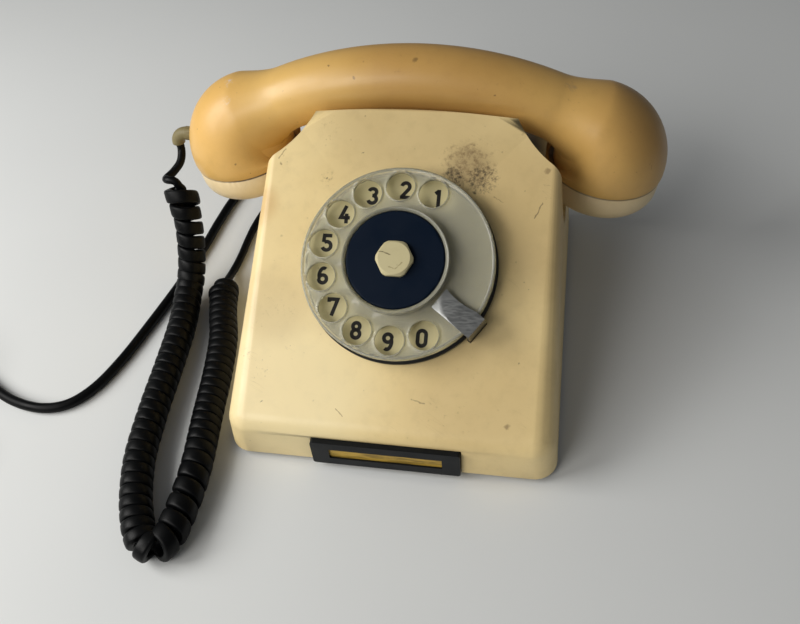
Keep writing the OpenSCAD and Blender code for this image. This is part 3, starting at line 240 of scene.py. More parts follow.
def specks():
    """Scattered specks: the share of random cells whose middle is nearer than a random reach."""
    def build(tree, i):
        at = frayed(tree, i["Vector"], 900.0, 0.0009)
        cells = put(tree, "ShaderNodeTexVoronoi", {"Vector": at, "Scale": i["Scale"]})
        parts = put(tree, "ShaderNodeSeparateColor", {0: cells.outputs["Color"]})
        reach = times(tree, i["Size"], parts.outputs[0])
        inside = linear(tree, cells.outputs["Distance"], reach, times(tree, reach, 0.5))
        chosen = calc(tree, "LESS_THAN", parts.outputs[1], i["Share"])
        return {"Mask": times(tree, inside, chosen)}
    return group("Specks", [("Vector", VEC, None), ("Scale", NUM, 200.0), ("Size", NUM, 0.2), ("Share", NUM, 0.3)],
                 [("Mask", NUM)], build)


def scratches():
    """Hairline scratches: the thin middle line of a noise drawn out along one way, broken up by a second noise."""
    def build(tree, i):
        turned = put(tree, "ShaderNodeVectorRotate", {"Vector": i["Vector"], "Angle": i["Turn"],
                                                      "Axis": (0.3, -0.55, 0.78)},
                     rotation_type="AXIS_ANGLE").outputs[0]
        long = vector(tree, "MULTIPLY", turned, (1.0, 14.0, 9.0))
        away = calc(tree, "ABSOLUTE", calc(tree, "SUBTRACT", noise(tree, long, i["Scale"], 1.0), 0.5))
        line = linear(tree, away, i["Width"], 0.0)
        kept = spread(tree, noise(tree, i["Vector"], 70.0), 0.54, 0.66)
        return {"Mask": times(tree, line, kept)}
    return group("Scratches", [("Vector", VEC, None), ("Scale", NUM, 30.0), ("Turn", NUM, 0.5),
                               ("Width", NUM, 0.006)], [("Mask", NUM)], build)


def near():
    """Nearness to a place: 1 at it, falling smoothly to 0 at the reach."""
    def build(tree, i):
        d = vector(tree, "DISTANCE", i["Vector"], i["Place"])
        return {"Mask": spread(tree, d, i["Reach"], times(tree, i["Reach"], 0.35))}
    return group("Nearness", [("Vector", VEC, None), ("Place", VEC, (0, 0, 0)), ("Reach", NUM, 0.01)],
                 [("Mask", NUM)], build)


def stroke():
    """A drawn line: 1 on the stretch from a start along a way, falling to 0 at its width; noise frays it."""
    def build(tree, i):
        rel = vector(tree, "SUBTRACT", frayed(tree, i["Vector"], 600.0, 0.0012), i["Start"])
        dot, whole = vector(tree, "DOT_PRODUCT", rel, i["Way"]), vector(tree, "DOT_PRODUCT", i["Way"], i["Way"])
        foot = vector(tree, "SCALE", i["Way"], scale=calc(tree, "DIVIDE", dot, whole, clamp=True))
        d = vector(tree, "DISTANCE", rel, foot)
        return {"Mask": linear(tree, d, i["Width"], times(tree, i["Width"], 0.4))}
    return group("Stroke", [("Vector", VEC, None), ("Start", VEC, (0, 0, 0)), ("Way", VEC, (0.01, 0, 0)),
                            ("Width", NUM, 0.0003)], [("Mask", NUM)], build)


def new_material(name):
    """The node tree of an empty material, and its object coordinates."""
    m = bpy.data.materials.get(name) or bpy.data.materials.new(name)
    m.use_nodes = True
    m.node_tree.nodes.clear()
    where = put(m.node_tree, "ShaderNodeTexCoord").outputs["Object"]
    return m.node_tree, where


def finish_with(tree, colour_in, roughness, height=None, bump=0.0, metallic=0.0, ior=1.5, coat=0.0, coat_rough=0.1,
                transmission=0.0, specular=0.5):
    """Closes a material with the surface shader; height is in metres, as is the bump's reach."""
    s = put(tree, "ShaderNodeBsdfPrincipled", {
        "Base Color": colour_in, "Roughness": roughness, "Metallic": metallic, "IOR": ior, "Coat Weight": coat,
        "Coat Roughness": coat_rough, "Transmission Weight": transmission, "Specular IOR Level": specular})
    if height is not None:
        b = put(tree, "ShaderNodeBump", {"Height": height, "Distance": bump, "Strength": 1.0})
        tree.links.new(b.outputs[0], s.inputs["Normal"])
    tree.links.new(s.outputs[0], put(tree, "ShaderNodeOutputMaterial").inputs[0])


# ---- Mesh helpers ----
def lay(name, points, faces, body, material, stands_for=(), smooth=True, sharp=None):
    """Puts points, in metres, and faces into a new piece that moves with a body."""
    mesh = bpy.data.meshes.new(name)
    mesh.from_pydata(np.asarray(points, float).reshape(-1, 3).tolist(), [], [tuple(f) for f in faces])
    mesh.validate()
    mesh.polygons.foreach_set("use_smooth", [smooth] * len(mesh.polygons))
    if sharp is not None:
        mesh.set_sharp_from_angle(angle=math.radians(sharp))
    piece = bpy.data.objects.new(name, mesh)
    bpy.context.scene.collection.objects.link(piece)
    mesh.materials.append(material)
    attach(piece, body)
    if stands_for:
        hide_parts(*stands_for)
    return piece


def dress(node, body, material, sharp=38.0, bevel=0.0, turn=0.0):
    """A smooth copy of a CAD node: its loose triangles are joined, only its true edges stay sharp, a bevel, in
    millimetres, breaks them, and it may be turned, in degrees, about the dial's own axis."""
    mesh = frame["nodes"][node].data.copy()
    mesh.materials.clear()
    if turn:
        axis = Vector((0, -math.sin(FACE_TILT), math.cos(FACE_TILT)))
        middle = Matrix.Translation(Vector(DIAL_AT / 1000))
        mesh.transform(middle @ Matrix.Rotation(math.radians(turn), 4, axis) @ middle.inverted())

    bm = bmesh.new()
    bm.from_mesh(mesh)
    bmesh.ops.remove_doubles(bm, verts=bm.verts, dist=2e-6)
    bm.to_mesh(mesh)
    bm.free()
    mesh.polygons.foreach_set("use_smooth", [True] * len(mesh.polygons))
    mesh.set_sharp_from_angle(angle=math.radians(sharp))
    piece = bpy.data.objects.new(node + "_skin", mesh)
    bpy.context.scene.collection.objects.link(piece)
    mesh.materials.append(material)
    if bevel:
        b = piece.modifiers.new("Broken edges", "BEVEL")
        b.width, b.segments, b.limit_method, b.angle_limit = bevel / 1000, 2, "ANGLE", math.radians(sharp)
    w = piece.modifiers.new("Flat faces stay flat", "WEIGHTED_NORMAL")
    w.keep_sharp = True
    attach(piece, body)
    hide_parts(node)


def on_face(points):
    """Dial coordinates (across, up the face, out of it), in millimetres, to metres in the shared frame:
    turned about X by the face's slope and moved to the dial's centre."""
    p = np.asarray(points, float)
    c, s = math.cos(FACE_TILT), math.sin(FACE_TILT)
    out = np.stack([p[..., 0], c * p[..., 1] - s * p[..., 2], s * p[..., 1] + c * p[..., 2]], -1)
    return (out + DIAL_AT) / 1000


def smooth(route, steps):
    """Points along a cubic through the route: each span between points a and b is
    b' = half of (2b + (c-a)t + (2a-5b+4c-d)t^2 + (3b-a-3c+d)t^3) with its neighbours."""
    p = np.asarray(route, float)
    k = np.arange(len(p) - 1)
    a, b, c, d = p[np.maximum(k - 1, 0)], p[k], p[k + 1], p[np.minimum(k + 2, len(p) - 1)]
    t = (np.arange(steps) / steps)[None, :, None]
    a, b, c, d = (x[:, None, :] for x in (a, b, c, d))
    q = 0.5 * (2 * b + (c - a) * t + (2 * a - 5 * b + 4 * c - d) * t ** 2 + (3 * b - a - 3 * c + d) * t ** 3)
    return np.concatenate([q.reshape(-1, 3), p[-1:]])


def along(p):
    """Distance along a line of points."""
    return np.concatenate([[0.0], np.cumsum(np.linalg.norm(np.diff(p, axis=0), axis=1))])


def at(distances, where, values):
    """Values along a line, read at other distances."""
    return np.stack([np.interp(distances, where, values[:, k]) for k in range(values.shape[1])], -1)


def unit(v):
    """Vectors brought to length 1."""
    return v / np.linalg.norm(v, axis=-1, keepdims=True)


def framed(p, lean=(0.35, 0.2, 0.91)):
    """Tangent of a line, the side square to it and to one fixed leaning direction, and the up that completes them."""
    t = unit(np.gradient(p, axis=0))
    side = unit(np.cross(t, lean))
    return t, side, np.cross(t, side)


def rings(centres, side, up, section):
    """Centre + a x side + b x up for every point (a, b) of the section, ring after ring."""
    section = section if section.ndim == 3 else section[None]
    return centres[:, None] + section[..., 0:1] * side[:, None] + section[..., 1:2] * up[:, None]


def ring_faces(count, sides):
    """Quads between neighbouring rings, turning about the direction of travel, and a cap at each end."""
    i, k = np.arange(count - 1)[:, None], np.arange(sides)[None]
    a, b = i * sides + k, i * sides + (k + 1) % sides
    faces = np.stack([a, b, b + sides, a + sides], -1).reshape(-1, 4).tolist()
    return faces + [list(range(sides))[::-1], list(range((count - 1) * sides, count * sides))]


def oval(sides, half_a, half_b, power=2.0):
    """Section |a/half_a|^power + |b/half_b|^power = 1."""
    w = np.arange(sides) / sides * 2 * math.pi
    c, s = np.cos(w), np.sin(w)
    return np.stack([half_a * np.sign(c) * np.abs(c) ** (2 / power),
                     half_b * np.sign(s) * np.abs(s) ** (2 / power)], -1)


# ---- Finishes ----
def aged_plastic(name, fresh, aged, soil, stains_and_painted_light, scuffs, spots, lines, gloss, blotch=0.5, dirt=1.0, seam=False):
    """Semi-gloss plastic that has yellowed unevenly, with mottling, specks, hairlines and a faint mould grain.
    Soft local tints are stains, painted shade and painted light; scuffs are patches of flecks, spots are small
    stains, lines are single scratches."""
    t, where = new_material(name)
    broad = use(t, stains(), Vector=where, Scale=11.0, From=0.34, To=0.74)
    fine = use(t, stains(), Vector=where, Scale=150.0, From=0.42, To=0.80)
    base = mixed(t, times(t, broad, blotch), fresh, aged)
    base = mixed(t, times(t, fine, 0.10 * dirt), base, soil)
    # Soft local tints: stains, painted shade and painted light
    for place, reach, tone, share in stains_and_painted_light:
        spot = use(t, near(), Vector=where, Place=place, Reach=reach)
        base = mixed(t, times(t, spot, share), base, tone)
    dots = use(t, specks(), Vector=where, Scale=120.0, Size=0.10, Share=0.12)
    dust = use(t, specks(), Vector=where, Scale=430.0, Size=0.26, Share=0.09)
    hair = use(t, scratches(), Vector=where, Scale=26.0, Turn=0.5, Width=0.004)
    worn = use(t, stains(), Vector=where, Scale=30.0, From=0.44, To=0.64)
    for mask, share in ((dots, 0.6), (dust, 0.5), (hair, 0.30)):
        share = spread(t, worn, 0.0, 1.0, share * dirt * 0.3, share * dirt)
        base = mixed(t, times(t, mask, share), base, soil)
    for place, reach, tone, share, fleck, low in scuffs:
        spot = use(t, near(), Vector=where, Place=place, Reach=reach)
        n = noise(t, where, fleck, 6.0, 0.75)
        bits = linear(t, n, calc(t, "SUBTRACT", low + 0.16, times(t, spot, 0.16)), low + 0.20)
        base = mixed(t, times(t, times(t, spot, bits), share), base, tone)
    for place, reach, tone, share in spots:
        spot = use(t, near(), Vector=frayed(t, where, 500.0, 0.0022), Place=place, Reach=reach)
        base = mixed(t, times(t, spot, share), base, tone)
    for start, end, width, tone, share in lines:
        way = tuple(e - v for v, e in zip(start, end))
        mark = use(t, stroke(), Vector=where, Start=start, Way=way, Width=width)
        base = mixed(t, times(t, mark, share), base, tone)
    if seam:
        base = mixed(t, times(t, seam_line(t, where), spread(t, worn, 0.0, 1.0, 0.55, 0.9)), base, soil)
    rough = spread(t, noise(t, where, 60.0, 4.0), 0.3, 0.7, gloss, gloss + 0.12)
    rough = calc(t, "ADD", rough, times(t, hair, 0.2))
    grain = calc(t, "ADD", noise(t, where, 900.0, 2.0), times(t, hair, -2.0))
    finish_with(t, base, rough, height=grain, bump=0.00001, coat=0.12, coat_rough=0.2)


def seam_line(tree, where):
    """Dirt in the handset's seams: 1 on the plane of either cup's rim, falling to 0 at 0.6 mm from it."""
    parts = put(tree, "ShaderNodeSeparateXYZ", {0: where})
    across = times(tree, calc(tree, "ABSOLUTE", parts.outputs[0]), math.sin(CUP_LEAN))
    height = calc(tree, "ADD", across, times(tree, parts.outputs[2], math.cos(CUP_LEAN)))
    rim = (CUP_X * math.sin(CUP_LEAN) + SEAM_H * math.cos(CUP_LEAN)) / 1000
    away = calc(tree, "ABSOLUTE", calc(tree, "SUBTRACT", height, rim))
    return linear(tree, away, 0.0006, 0.0002)


def plain_plastic(name, base, rough, grain=700.0, depth=0.00002, dust=0.12, specular=0.3):
    """Moulded plastic with a fine grain, uneven gloss and a little dust."""
    t, where = new_material(name)
    cloud = use(t, stains(), Vector=where, Scale=60.0, From=0.4, To=0.75)
    pale = tuple(min(1.0, v * 1.6 + 0.02) for v in base)
    look = mixed(t, times(t, cloud, dust), base, pale)
    bits = use(t, specks(), Vector=where, Scale=420.0, Size=0.25, Share=0.08)
    look = mixed(t, times(t, bits, 0.35), look, pale)
    roughness = spread(t, noise(t, where, 90.0), 0.3, 0.7, rough - 0.05, rough + 0.1)
    finish_with(t, look, roughness, height=noise(t, where, grain, 2.0), bump=depth, specular=specular)


def worked_metal(name, base, rough, stretch=(1.0, 1.0, 20.0), streak=0.25):
    """Metal with drawn or rolled lines in its gloss."""
    t, where = new_material(name)
    grain = noise(t, vector(t, "MULTIPLY", where, stretch), 300.0)
    look = mixed(t, spread(t, grain, 0.3, 0.7, 0.0, streak), base, tuple(v * 0.6 for v in base))
    finish_with(t, look, spread(t, grain, 0.3, 0.7, rough - 0.06, rough + 0.1), height=grain, bump=0.000006,
                metallic=1.0)


def clear_plastic():
    """Clear moulded plastic, a little milky, its gloss dulled unevenly."""
    t, where = new_material("Clear plastic")
    cloud = use(t, stains(), Vector=where, Scale=45.0, From=0.4, To=0.8)
    finish_with(t, tint(224, 222, 203), spread(t, cloud, 0.0, 1.0, 0.20, 0.28), ior=1.40, transmission=0.72)


def plate_lacquer(c):
    """Lacquered number plate with slight uneven toning."""
    t, where = new_material("Plate lacquer")
    tone = use(t, stains(), Vector=where, Scale=30.0, From=0.35, To=0.8)
    look = mixed(t, times(t, tone, 0.25), c.plate, tuple(v * 0.72 for v in c.plate))
    bits = use(t, specks(), Vector=where, Scale=330.0, Size=0.22, Share=0.08)
    look = mixed(t, times(t, bits, 0.4), look, c.soil)
    finish_with(t, look, spread(t, noise(t, where, 80.0), 0.3, 0.7, 0.35, 0.5))


def strip_card(c):
    """Ochre card with streaks along its length."""
    t, where = new_material("Strip card")
    n = noise(t, vector(t, "MULTIPLY", where, (1.0, 8.0, 8.0)), 70.0, 5.0, 0.65)
    look = mixed(t, spread(t, n, 0.42, 0.66), c.card, tuple(v * 0.45 for v in c.card))
    finish_with(t, look, 0.5, height=n, bump=0.00005)


def finishes():
    """Makes every finish. Soft local tints, which hold stains, painted shade and painted light, are (place, reach,
    tone, share), scuffs the same with the fleck's fineness and its threshold, spots like the tints, and lines (start,
    end, width, tone, share)."""
    c = bpy.context.scene.telephone_colours
    brown, dark, ochre, pale = tint(116, 92, 58), tint(38, 29, 20), tint(196, 150, 84), tint(214, 200, 190)
    # Soft local tints: painted shade along the top edge under the handset, painted shade down the right side, painted
    # light at the lower left, an ochre stain, darker patches under three scuffs, and painted shade in the two notches
    # under the cups
    stains_and_painted_light = [((0.003, 0.033, 0.099), 0.060, tint(150, 126, 84), 0.35),
              ((0.066, 0.0, 0.07), 0.055, tint(168, 140, 90), 0.45),
              ((-0.040, -0.070, 0.03), 0.05, tint(248, 232, 184), 0.5),
              ((-0.062, -0.004, 0.0735), 0.012, ochre, 0.45),
              ((0.040, -0.066, 0.035), 0.040, tint(176, 148, 98), 0.30),
              ((-0.049, -0.042, 0.050), 0.022, tint(190, 166, 118), 0.35),
              ((0.0285, 0.0125, 0.0856), 0.0135, tint(128, 106, 70), 0.42),
              # Painted shade in the two round notches under the cups
              ((0.0560, 0.0670, 0.0560), 0.0165, tint(60, 42, 22), 0.9),
              ((-0.0500, 0.0670, 0.0560), 0.0165, tint(60, 42, 22), 0.9)]
    scuffs = [((0.0275, 0.0130, 0.0860), 0.0165, brown, 0.75, 420.0, 0.44),
              ((0.0222, 0.0085, 0.0832), 0.0070, dark, 0.95, 700.0, 0.42),
              ((0.0345, 0.0085, 0.0830), 0.0100, dark, 0.92, 640.0, 0.44),
              ((-0.033, 0.006, 0.0815), 0.0070, brown, 0.75, 600.0, 0.54),
              ((-0.049, -0.044, 0.0488), 0.0200, brown, 0.55, 520.0, 0.58),
              ((-0.052, -0.064, 0.036), 0.0090, dark, 0.70, 560.0, 0.58),
              ((-0.061, -0.060, 0.0385), 0.0080, dark, 0.70, 560.0, 0.58),
              ((0.030, -0.070, 0.031), 0.0350, brown, 0.45, 420.0, 0.60),
              ((-0.036, 0.026, 0.0945), 0.0120, brown, 0.50, 460.0, 0.56)]
    spots = [((-0.0184, 0.0165, 0.0883), 0.0006, dark, 0.64), ((0.0613, 0.0125, 0.0857), 0.0018, brown, 0.56),
             ((0.0525, -0.0775, 0.0270), 0.0014, brown, 0.60), ((-0.0329, 0.0061, 0.0815), 0.0007, dark, 0.64),
             ((0.0249, 0.0056, 0.0812), 0.0008, dark, 0.76), ((0.0315, 0.0033, 0.0797), 0.0009, dark, 0.76),
             ((-0.0544, 0.0111, 0.0848), 0.0008, brown, 0.64),
             ((-0.0608, -0.0857, 0.0216), 0.0008, brown, 0.64)]
    lines = [((0.0602, 0.0007, 0.078), (0.0574, -0.0049, 0.0744), 0.00031, dark, 0.56),
             ((0.0390, 0.0024, 0.0791), (0.0436, 0.0004, 0.0778), 0.00028, brown, 0.49),
             ((-0.0555, 0.0131, 0.0861), (-0.0529, 0.0166, 0.0884), 0.00042, brown, 0.56),
             ((-0.0520, -0.0780, 0.0270), (-0.0498, -0.0760, 0.0282), 0.00028, dark, 0.56),
             ((-0.0180, -0.0765, 0.0275), (-0.0150, -0.0790, 0.0262), 0.00035, brown, 0.56),
             ((0.0130, -0.0712, 0.0312), (0.0185, -0.0722, 0.0305), 0.00035, dark, 0.49)]
    # Soft local tints: darker along the top of the grip, painted shade on the outer side of the right cup, and
    # painted light on the left of the grip and on the left cup
    grip_tints_and_painted_light = [((0.0, 0.062, 0.112), 0.075, tint(150, 108, 52), 0.45),
                   ((0.106, 0.055, 0.085), 0.040, tint(140, 100, 50), 0.55),
                   ((-0.050, 0.040, 0.100), 0.045, tint(232, 192, 112), 0.35),
                   ((-0.095, 0.045, 0.085), 0.030, tint(232, 180, 90), 0.3)]
    grip_scuffs = [((-0.0867, 0.0507, 0.0982), 0.0048, pale, 0.85, 500.0, 0.46),
                   ((-0.0862, 0.0419, 0.0950), 0.0040, pale, 0.70, 500.0, 0.48),
                   ((0.0700, 0.0439, 0.0986), 0.0060, dark, 0.65, 700.0, 0.55),
                   ((0.0686, 0.0502, 0.1023), 0.0040, tint(150, 128, 100), 0.5, 300.0, 0.40),
                   ((0.040, 0.045, 0.106), 0.0250, brown, 0.45, 420.0, 0.60),
                   ((0.0, 0.055, 0.115), 0.0300, brown, 0.5, 300.0, 0.58)]
    grip_spots = [((-0.0834, 0.0276, 0.0700), 0.0008, dark, 0.56),
                  ((-0.0735, 0.0447, 0.0980), 0.0007, brown, 0.56),
                  ((-0.0371, 0.0469, 0.1115), 0.0008, dark, 0.56),
                  ((-0.0249, 0.0413, 0.1095), 0.0009, brown, 0.64),
                  ((0.0369, 0.0393, 0.1040), 0.0008, dark, 0.56),
                  ((0.0865, 0.0372, 0.0908), 0.0010, dark, 0.64),
                  ((0.0920, 0.0360, 0.0877), 0.0007, dark, 0.56),
                  ((0.0710, 0.0390, 0.0923), 0.0008, dark, 0.56),
                  ((0.0018, 0.0467, 0.1155), 0.0014, dark, 0.48)]
    grip_lines = [((0.0710, 0.0461, 0.0996), (0.0773, 0.0429, 0.0962), 0.00031, dark, 0.42),
                  ((0.0865, 0.0372, 0.0908), (0.0920, 0.0360, 0.0877), 0.00028, dark, 0.42),
                  ((0.1057, 0.0365, 0.0752), (0.1056, 0.0348, 0.0715), 0.00035, dark, 0.42)]
    cracks = [((-0.0040, -0.0325, 0.0770), (-0.0016, -0.0327, 0.0769), 0.0003, tint(96, 84, 54), 0.9),
              ((-0.0016, -0.0327, 0.0769), (0.0013, -0.0335, 0.0763), 0.0003, tint(96, 84, 54), 0.9),
              ((0.0011, -0.0377, 0.0736), (0.0040, -0.0384, 0.0732), 0.0003, tint(150, 136, 96), 0.8),
              ((0.0040, -0.0384, 0.0732), (0.0065, -0.0359, 0.0748), 0.0003, tint(150, 136, 96), 0.8)]
    cap_soil = tuple(v * 0.8 for v in c.cream)
    aged_plastic("Ivory plastic", c.ivory, c.ivory_aged, c.soil, stains_and_painted_light, scuffs, spots, lines, 0.40)
    aged_plastic("Amber plastic", c.amber, c.amber_aged, c.soil, grip_tints_and_painted_light, grip_scuffs, grip_spots, grip_lines,
                 0.38, blotch=0.4, dirt=0.8, seam=True)
    aged_plastic("Cream plastic", c.cream, cap_soil, c.soil, [], [], [], [], 0.36, blotch=0.4, dirt=0.7, seam=True)
    aged_plastic("Cracked cream", tint(196, 185, 142), tint(176, 165, 122), c.soil, [], [], [], cracks, 0.34,
                 blotch=0.6, dirt=0.8)
    clear_plastic()
    plate_lacquer(c)
    strip_card(c)
    plain_plastic("Ink", c.ink, 0.5, dust=0.0)
    plain_plastic("Navy disc", c.navy, 0.45, dust=0.03, depth=0.000002, specular=0.10)
    plain_plastic("Black plastic", c.black, 0.40, dust=0.03, specular=0.22)
    plain_plastic("Cord sheath", tuple(v * 0.22 for v in c.black), 0.42, grain=400.0, dust=0.01, specular=0.14)
    plain_plastic("Rubber", tint(34, 34, 35), 0.7, depth=0.00006)
    plain_plastic("Olive sleeve", c.olive, 0.5)
    plain_plastic("Grey plastic", tint(150, 148, 140), 0.45)
    plain_plastic("Varnished winding", tint(132, 66, 34), 0.35, grain=2500.0, depth=0.0001)
    plain_plastic("Resin board", tint(122, 88, 52), 0.5)
    worked_metal("Satin steel", (0.50, 0.49, 0.47), 0.34)
    worked_metal("Dulled steel", (0.23, 0.235, 0.23), 0.36, (1.0, 6.0, 6.0), streak=0.035)
    worked_metal("Brass", (0.66, 0.50, 0.24), 0.30)


FINISH_OF_SLOT = {
    "housing": "Ivory plastic", "handset": "Amber plastic", "cap": "Cream plastic", "wheel": "Clear plastic",
    "black": "Black plastic", "navy": "Navy disc", "plate": "Plate lacquer", "strip": "Strip card",
    "steel": "Satin steel", "brass": "Brass", "copper": "Varnished winding", "board": "Resin board",
    "grey": "Grey plastic", "olive": "Olive sleeve", "cord": "Cord sheath", "rubber": "Rubber"}


# ---- Handset surface ----
def handset_curve(s):
    """Middle curve at distance s from a seam, for the right-hand side: a straight stretch along the cup's axis, the
    arc of the bend, then the long arc of the grip. Returns its points and directions in the handset's plane, and the
    length of one side."""
    d0 = np.array([math.sin(CUP_LEAN), math.cos(CUP_LEAN)])
    seam = np.array([CUP_X, SEAM_H])
    bend = seam + CUP_STRAIGHT * d0 - BEND_R * np.array([d0[1], -d0[0]])
    centre_z = bend[1] - math.sqrt((GRIP_ARC_R - BEND_R) ** 2 - bend[0] ** 2)
    a_end = math.atan2(bend[1] - centre_z, bend[0])
    bend_len = BEND_R * (a_end + CUP_LEAN)
    total = CUP_STRAIGHT + bend_len + GRIP_ARC_R * (math.pi / 2 - a_end)
    s = np.asarray(s)[:, None]
    a = -CUP_LEAN + (s - CUP_STRAIGHT) / BEND_R
    g = a_end + (s - CUP_STRAIGHT - bend_len) / GRIP_ARC_R
    in_cup, in_bend = s < CUP_STRAIGHT, s < CUP_STRAIGHT + bend_len
    out_a, out_g = (np.concatenate([np.cos(v), np.sin(v)], 1) for v in (a, g))
    on_arc = np.where(in_bend, bend + BEND_R * out_a, np.array([0, centre_z]) + GRIP_ARC_R * out_g)
    along_arc = np.where(in_bend, out_a[:, ::-1] * [-1, 1], out_g[:, ::-1] * [-1, 1])
    return np.where(in_cup, seam + s * d0, on_arc), np.where(in_cup, d0, along_arc), total


def handset_points(sides):
    """The skin: at each place on the middle curve an oval that swells from the cup's seam to the bulb and then eases
    into the grip, with a small rounded rim at each seam and the capsule's pocket inside."""
    total = handset_curve(np.zeros(1))[2]
    s = np.concatenate([[0.0, 0.25, 0.6, 1.2], np.linspace(2.0, total, 92)])
    p, d, _ = handset_curve(s)
    w = np.clip((s - CUP_STRAIGHT) / BLEND_LEN, 0, 1)
    w = w * w * (3 - 2 * w)
    swell = np.sin(math.pi / 2 * np.minimum(s / CUP_STRAIGHT, 1))
    bulge = np.where(s < CUP_STRAIGHT, CUP_R + (BULB_R - CUP_R) * swell, BULB_R)
    rim = RIM_IN * (1 - np.sqrt(np.clip(1 - (1 - np.minimum(s / RIM_HIGH, 1)) ** 2, 0, 1)))
    high, deep = bulge * (1 - w) + GRIP_HALF_H * w - rim, bulge * (1 - w) + GRIP_HALF_D * w - rim
    pocket = CUP_R - CAP_WALL
    d0 = d[0]
    head = np.array([[CUP_X, SEAM_H] + h * d0 for h in (POCKET_DEPTH, 0.0)])
    p, d = np.concatenate([head, p]), np.concatenate([[d0, d0], d])
    high, deep = np.concatenate([[pocket, pocket], high]), np.concatenate([[pocket, pocket], deep])
    a = np.arange(sides) / sides * 2 * math.pi
    u, v = high[:, None] * np.cos(a), -deep[:, None] * np.sin(a)
    x, z = p[:, :1] + u * d[:, 1:], p[:, 1:] - u * d[:, :1]
    right = np.stack([x, v, z], -1)
    left = right[-2::-1] * [-1, 1, 1]
    return (np.concatenate([right, left]) + [0, HANDSET_Y, 0]) / 1000


# ---- Figures ----
def arc(x, y, rx, ry, start, end, n=20):
    """Points of an oval arc between two angles, in degrees."""
    a = np.radians(np.linspace(start, end, n))
    return np.stack([x + rx * np.cos(a), y + ry * np.sin(a)], -1)


def figure_strokes(digit):
    """Middle lines of a figure that is 1 high with its line's thickness, centred on the origin."""
    w, h = 0.215, 0.405
    top, low = h - w, -h + w
    figures = {
        0: [np.concatenate([arc(0, top, w, w, 0, 180), arc(0, low, w, w, 180, 360), [[w, top]]])],
        1: [np.array([[-0.14, h - 0.13], [0.06, h + 0.02]]), np.array([[0.06, h + 0.09], [0.06, -h - 0.09]])],
        2: [np.concatenate([arc(0, top, w, w, 170, -32), [[-w + 0.01, -h]]]),
            np.array([[-w - 0.06, -h], [w + 0.06, -h]])],
        3: [arc(-0.01, h - 0.19, w - 0.01, 0.19, 165, -80), arc(-0.01, -h + 0.215, w + 0.01, 0.215, 95, -165)],
        4: [np.array([[0.06, h + 0.09], [-w, -0.17], [w + 0.08, -0.17]]),
            np.array([[0.10, 0.06], [0.10, -h - 0.09]])],
        5: [np.array([[w + 0.03, h], [-w + 0.03, h], [-w + 0.01, 0.03]]),
            arc(-0.02, -h + 0.235, w + 0.02, 0.235, 128, -160)],
        6: [np.concatenate([arc(0, -h + 0.215, w, 0.215, -180, 180), [[-w, -0.02]],
                            arc(0.02, -0.02, w + 0.02, h + 0.02, 178, 62)])],
        7: [np.array([[-w - 0.03, h - 0.16], [-w - 0.03, h], [w, h], [-0.05, -h - 0.09]])],
        8: [arc(0, h - 0.19, w - 0.03, 0.19, 0, 360, 32), arc(0, -h + 0.215, w, 0.215, 0, 360, 32)],
    }
    figures[9] = [-figures[6][0]]
    return figures[digit]


def ribbon(line, width):
    """A line's two edges, each half the width away along the mitred normal of its neighbours."""
    d = unit(np.diff(line, axis=0))
    n = np.stack([-d[:, 1], d[:, 0]], -1)
    closed = np.allclose(line[0], line[-1])
    before = np.concatenate([n[-1:] if closed else n[:1], n])
    after = np.concatenate([n, n[:1] if closed else n[-1:]])
    m = unit(before + after)
    m = m / np.maximum(np.sum(m * after, -1, keepdims=True), 0.5)
    return np.concatenate([line + m * width / 2, line - m * width / 2])


# ---- Pieces ----
class TELEPHONE_OT_stage(bpy.types.Operator):
    """Floor, lamps and the camera"""
    bl_idname = "telephone.stage"
    bl_label = "Stage"

    def execute(self, context):
        s = context.scene.telephone_stage
        eye = bpy.data.cameras.new("Camera")
        eye.sensor_width, eye.lens = 36.0, 38.772
        eye.clip_start, eye.clip_end = 0.01, 10.0
        camera = bpy.data.objects.new("Camera", eye)
        # The camera's own axes, in the shared frame
        right, up, back = (0.98419, 0.16134, -0.07305), (-0.06965, 0.73181, 0.67794), (0.16284, -0.66214, 0.73148)
        turn = Matrix((right, up, back)).transposed().to_4x4()
        camera.matrix_world = Matrix.Translation((0.06329, -0.27893, 0.31351)) @ turn
        context.scene.collection.objects.link(camera)
        context.scene.camera = camera
        context.scene.view_settings.view_transform = "Standard"

        t, where = new_material("Pale floor")
        look = mixed(t, spread(t, noise(t, where, 6.0), 0.3, 0.7, 0.0, 0.2), s.floor, tuple(v * 0.9 for v in s.floor))
        finish_with(t, look, 0.85, specular=0.2)
        mesh = bpy.data.meshes.new("Floor")
        mesh.from_pydata([(-4, -4, 0), (4, -4, 0), (4, 4, 0), (-4, 4, 0)], [], [(0, 1, 2, 3)])
        mesh.materials.append(bpy.data.materials["Pale floor"])
        floor = bpy.data.objects.new("Floor", mesh)
        context.scene.collection.objects.link(floor)

        world = bpy.data.worlds.new("Soft room")
        context.scene.world = world
        world.use_nodes = True
        world.node_tree.nodes["Background"].inputs[0].default_value = (0.93, 0.96, 1.0, 1.0)
        world.node_tree.nodes["Background"].inputs[1].default_value = s.fill
        for name, place, aim, size, power, shade in (
                ("Key", (-0.68, -0.20, 0.50), (0.0, 0.0, 0.05), 0.5, s.key, (1.0, 0.985, 0.96)),
                ("Front fill", (-0.55, -0.92, 0.78), (0.0, 0.0, 0.05), 0.55, s.key, (1.0, 0.97, 0.93))):
            lamp = bpy.data.lights.new(name, "AREA")
            lamp.size, lamp.energy, lamp.color = size, power, shade
            o = bpy.data.objects.new(name, lamp)
            o.location = place
            o.rotation_euler = (Vector(aim) - Vector(place)).to_track_quat("-Z", "Y").to_euler()
            context.scene.collection.objects.link(o)
        return {"FINISHED"}


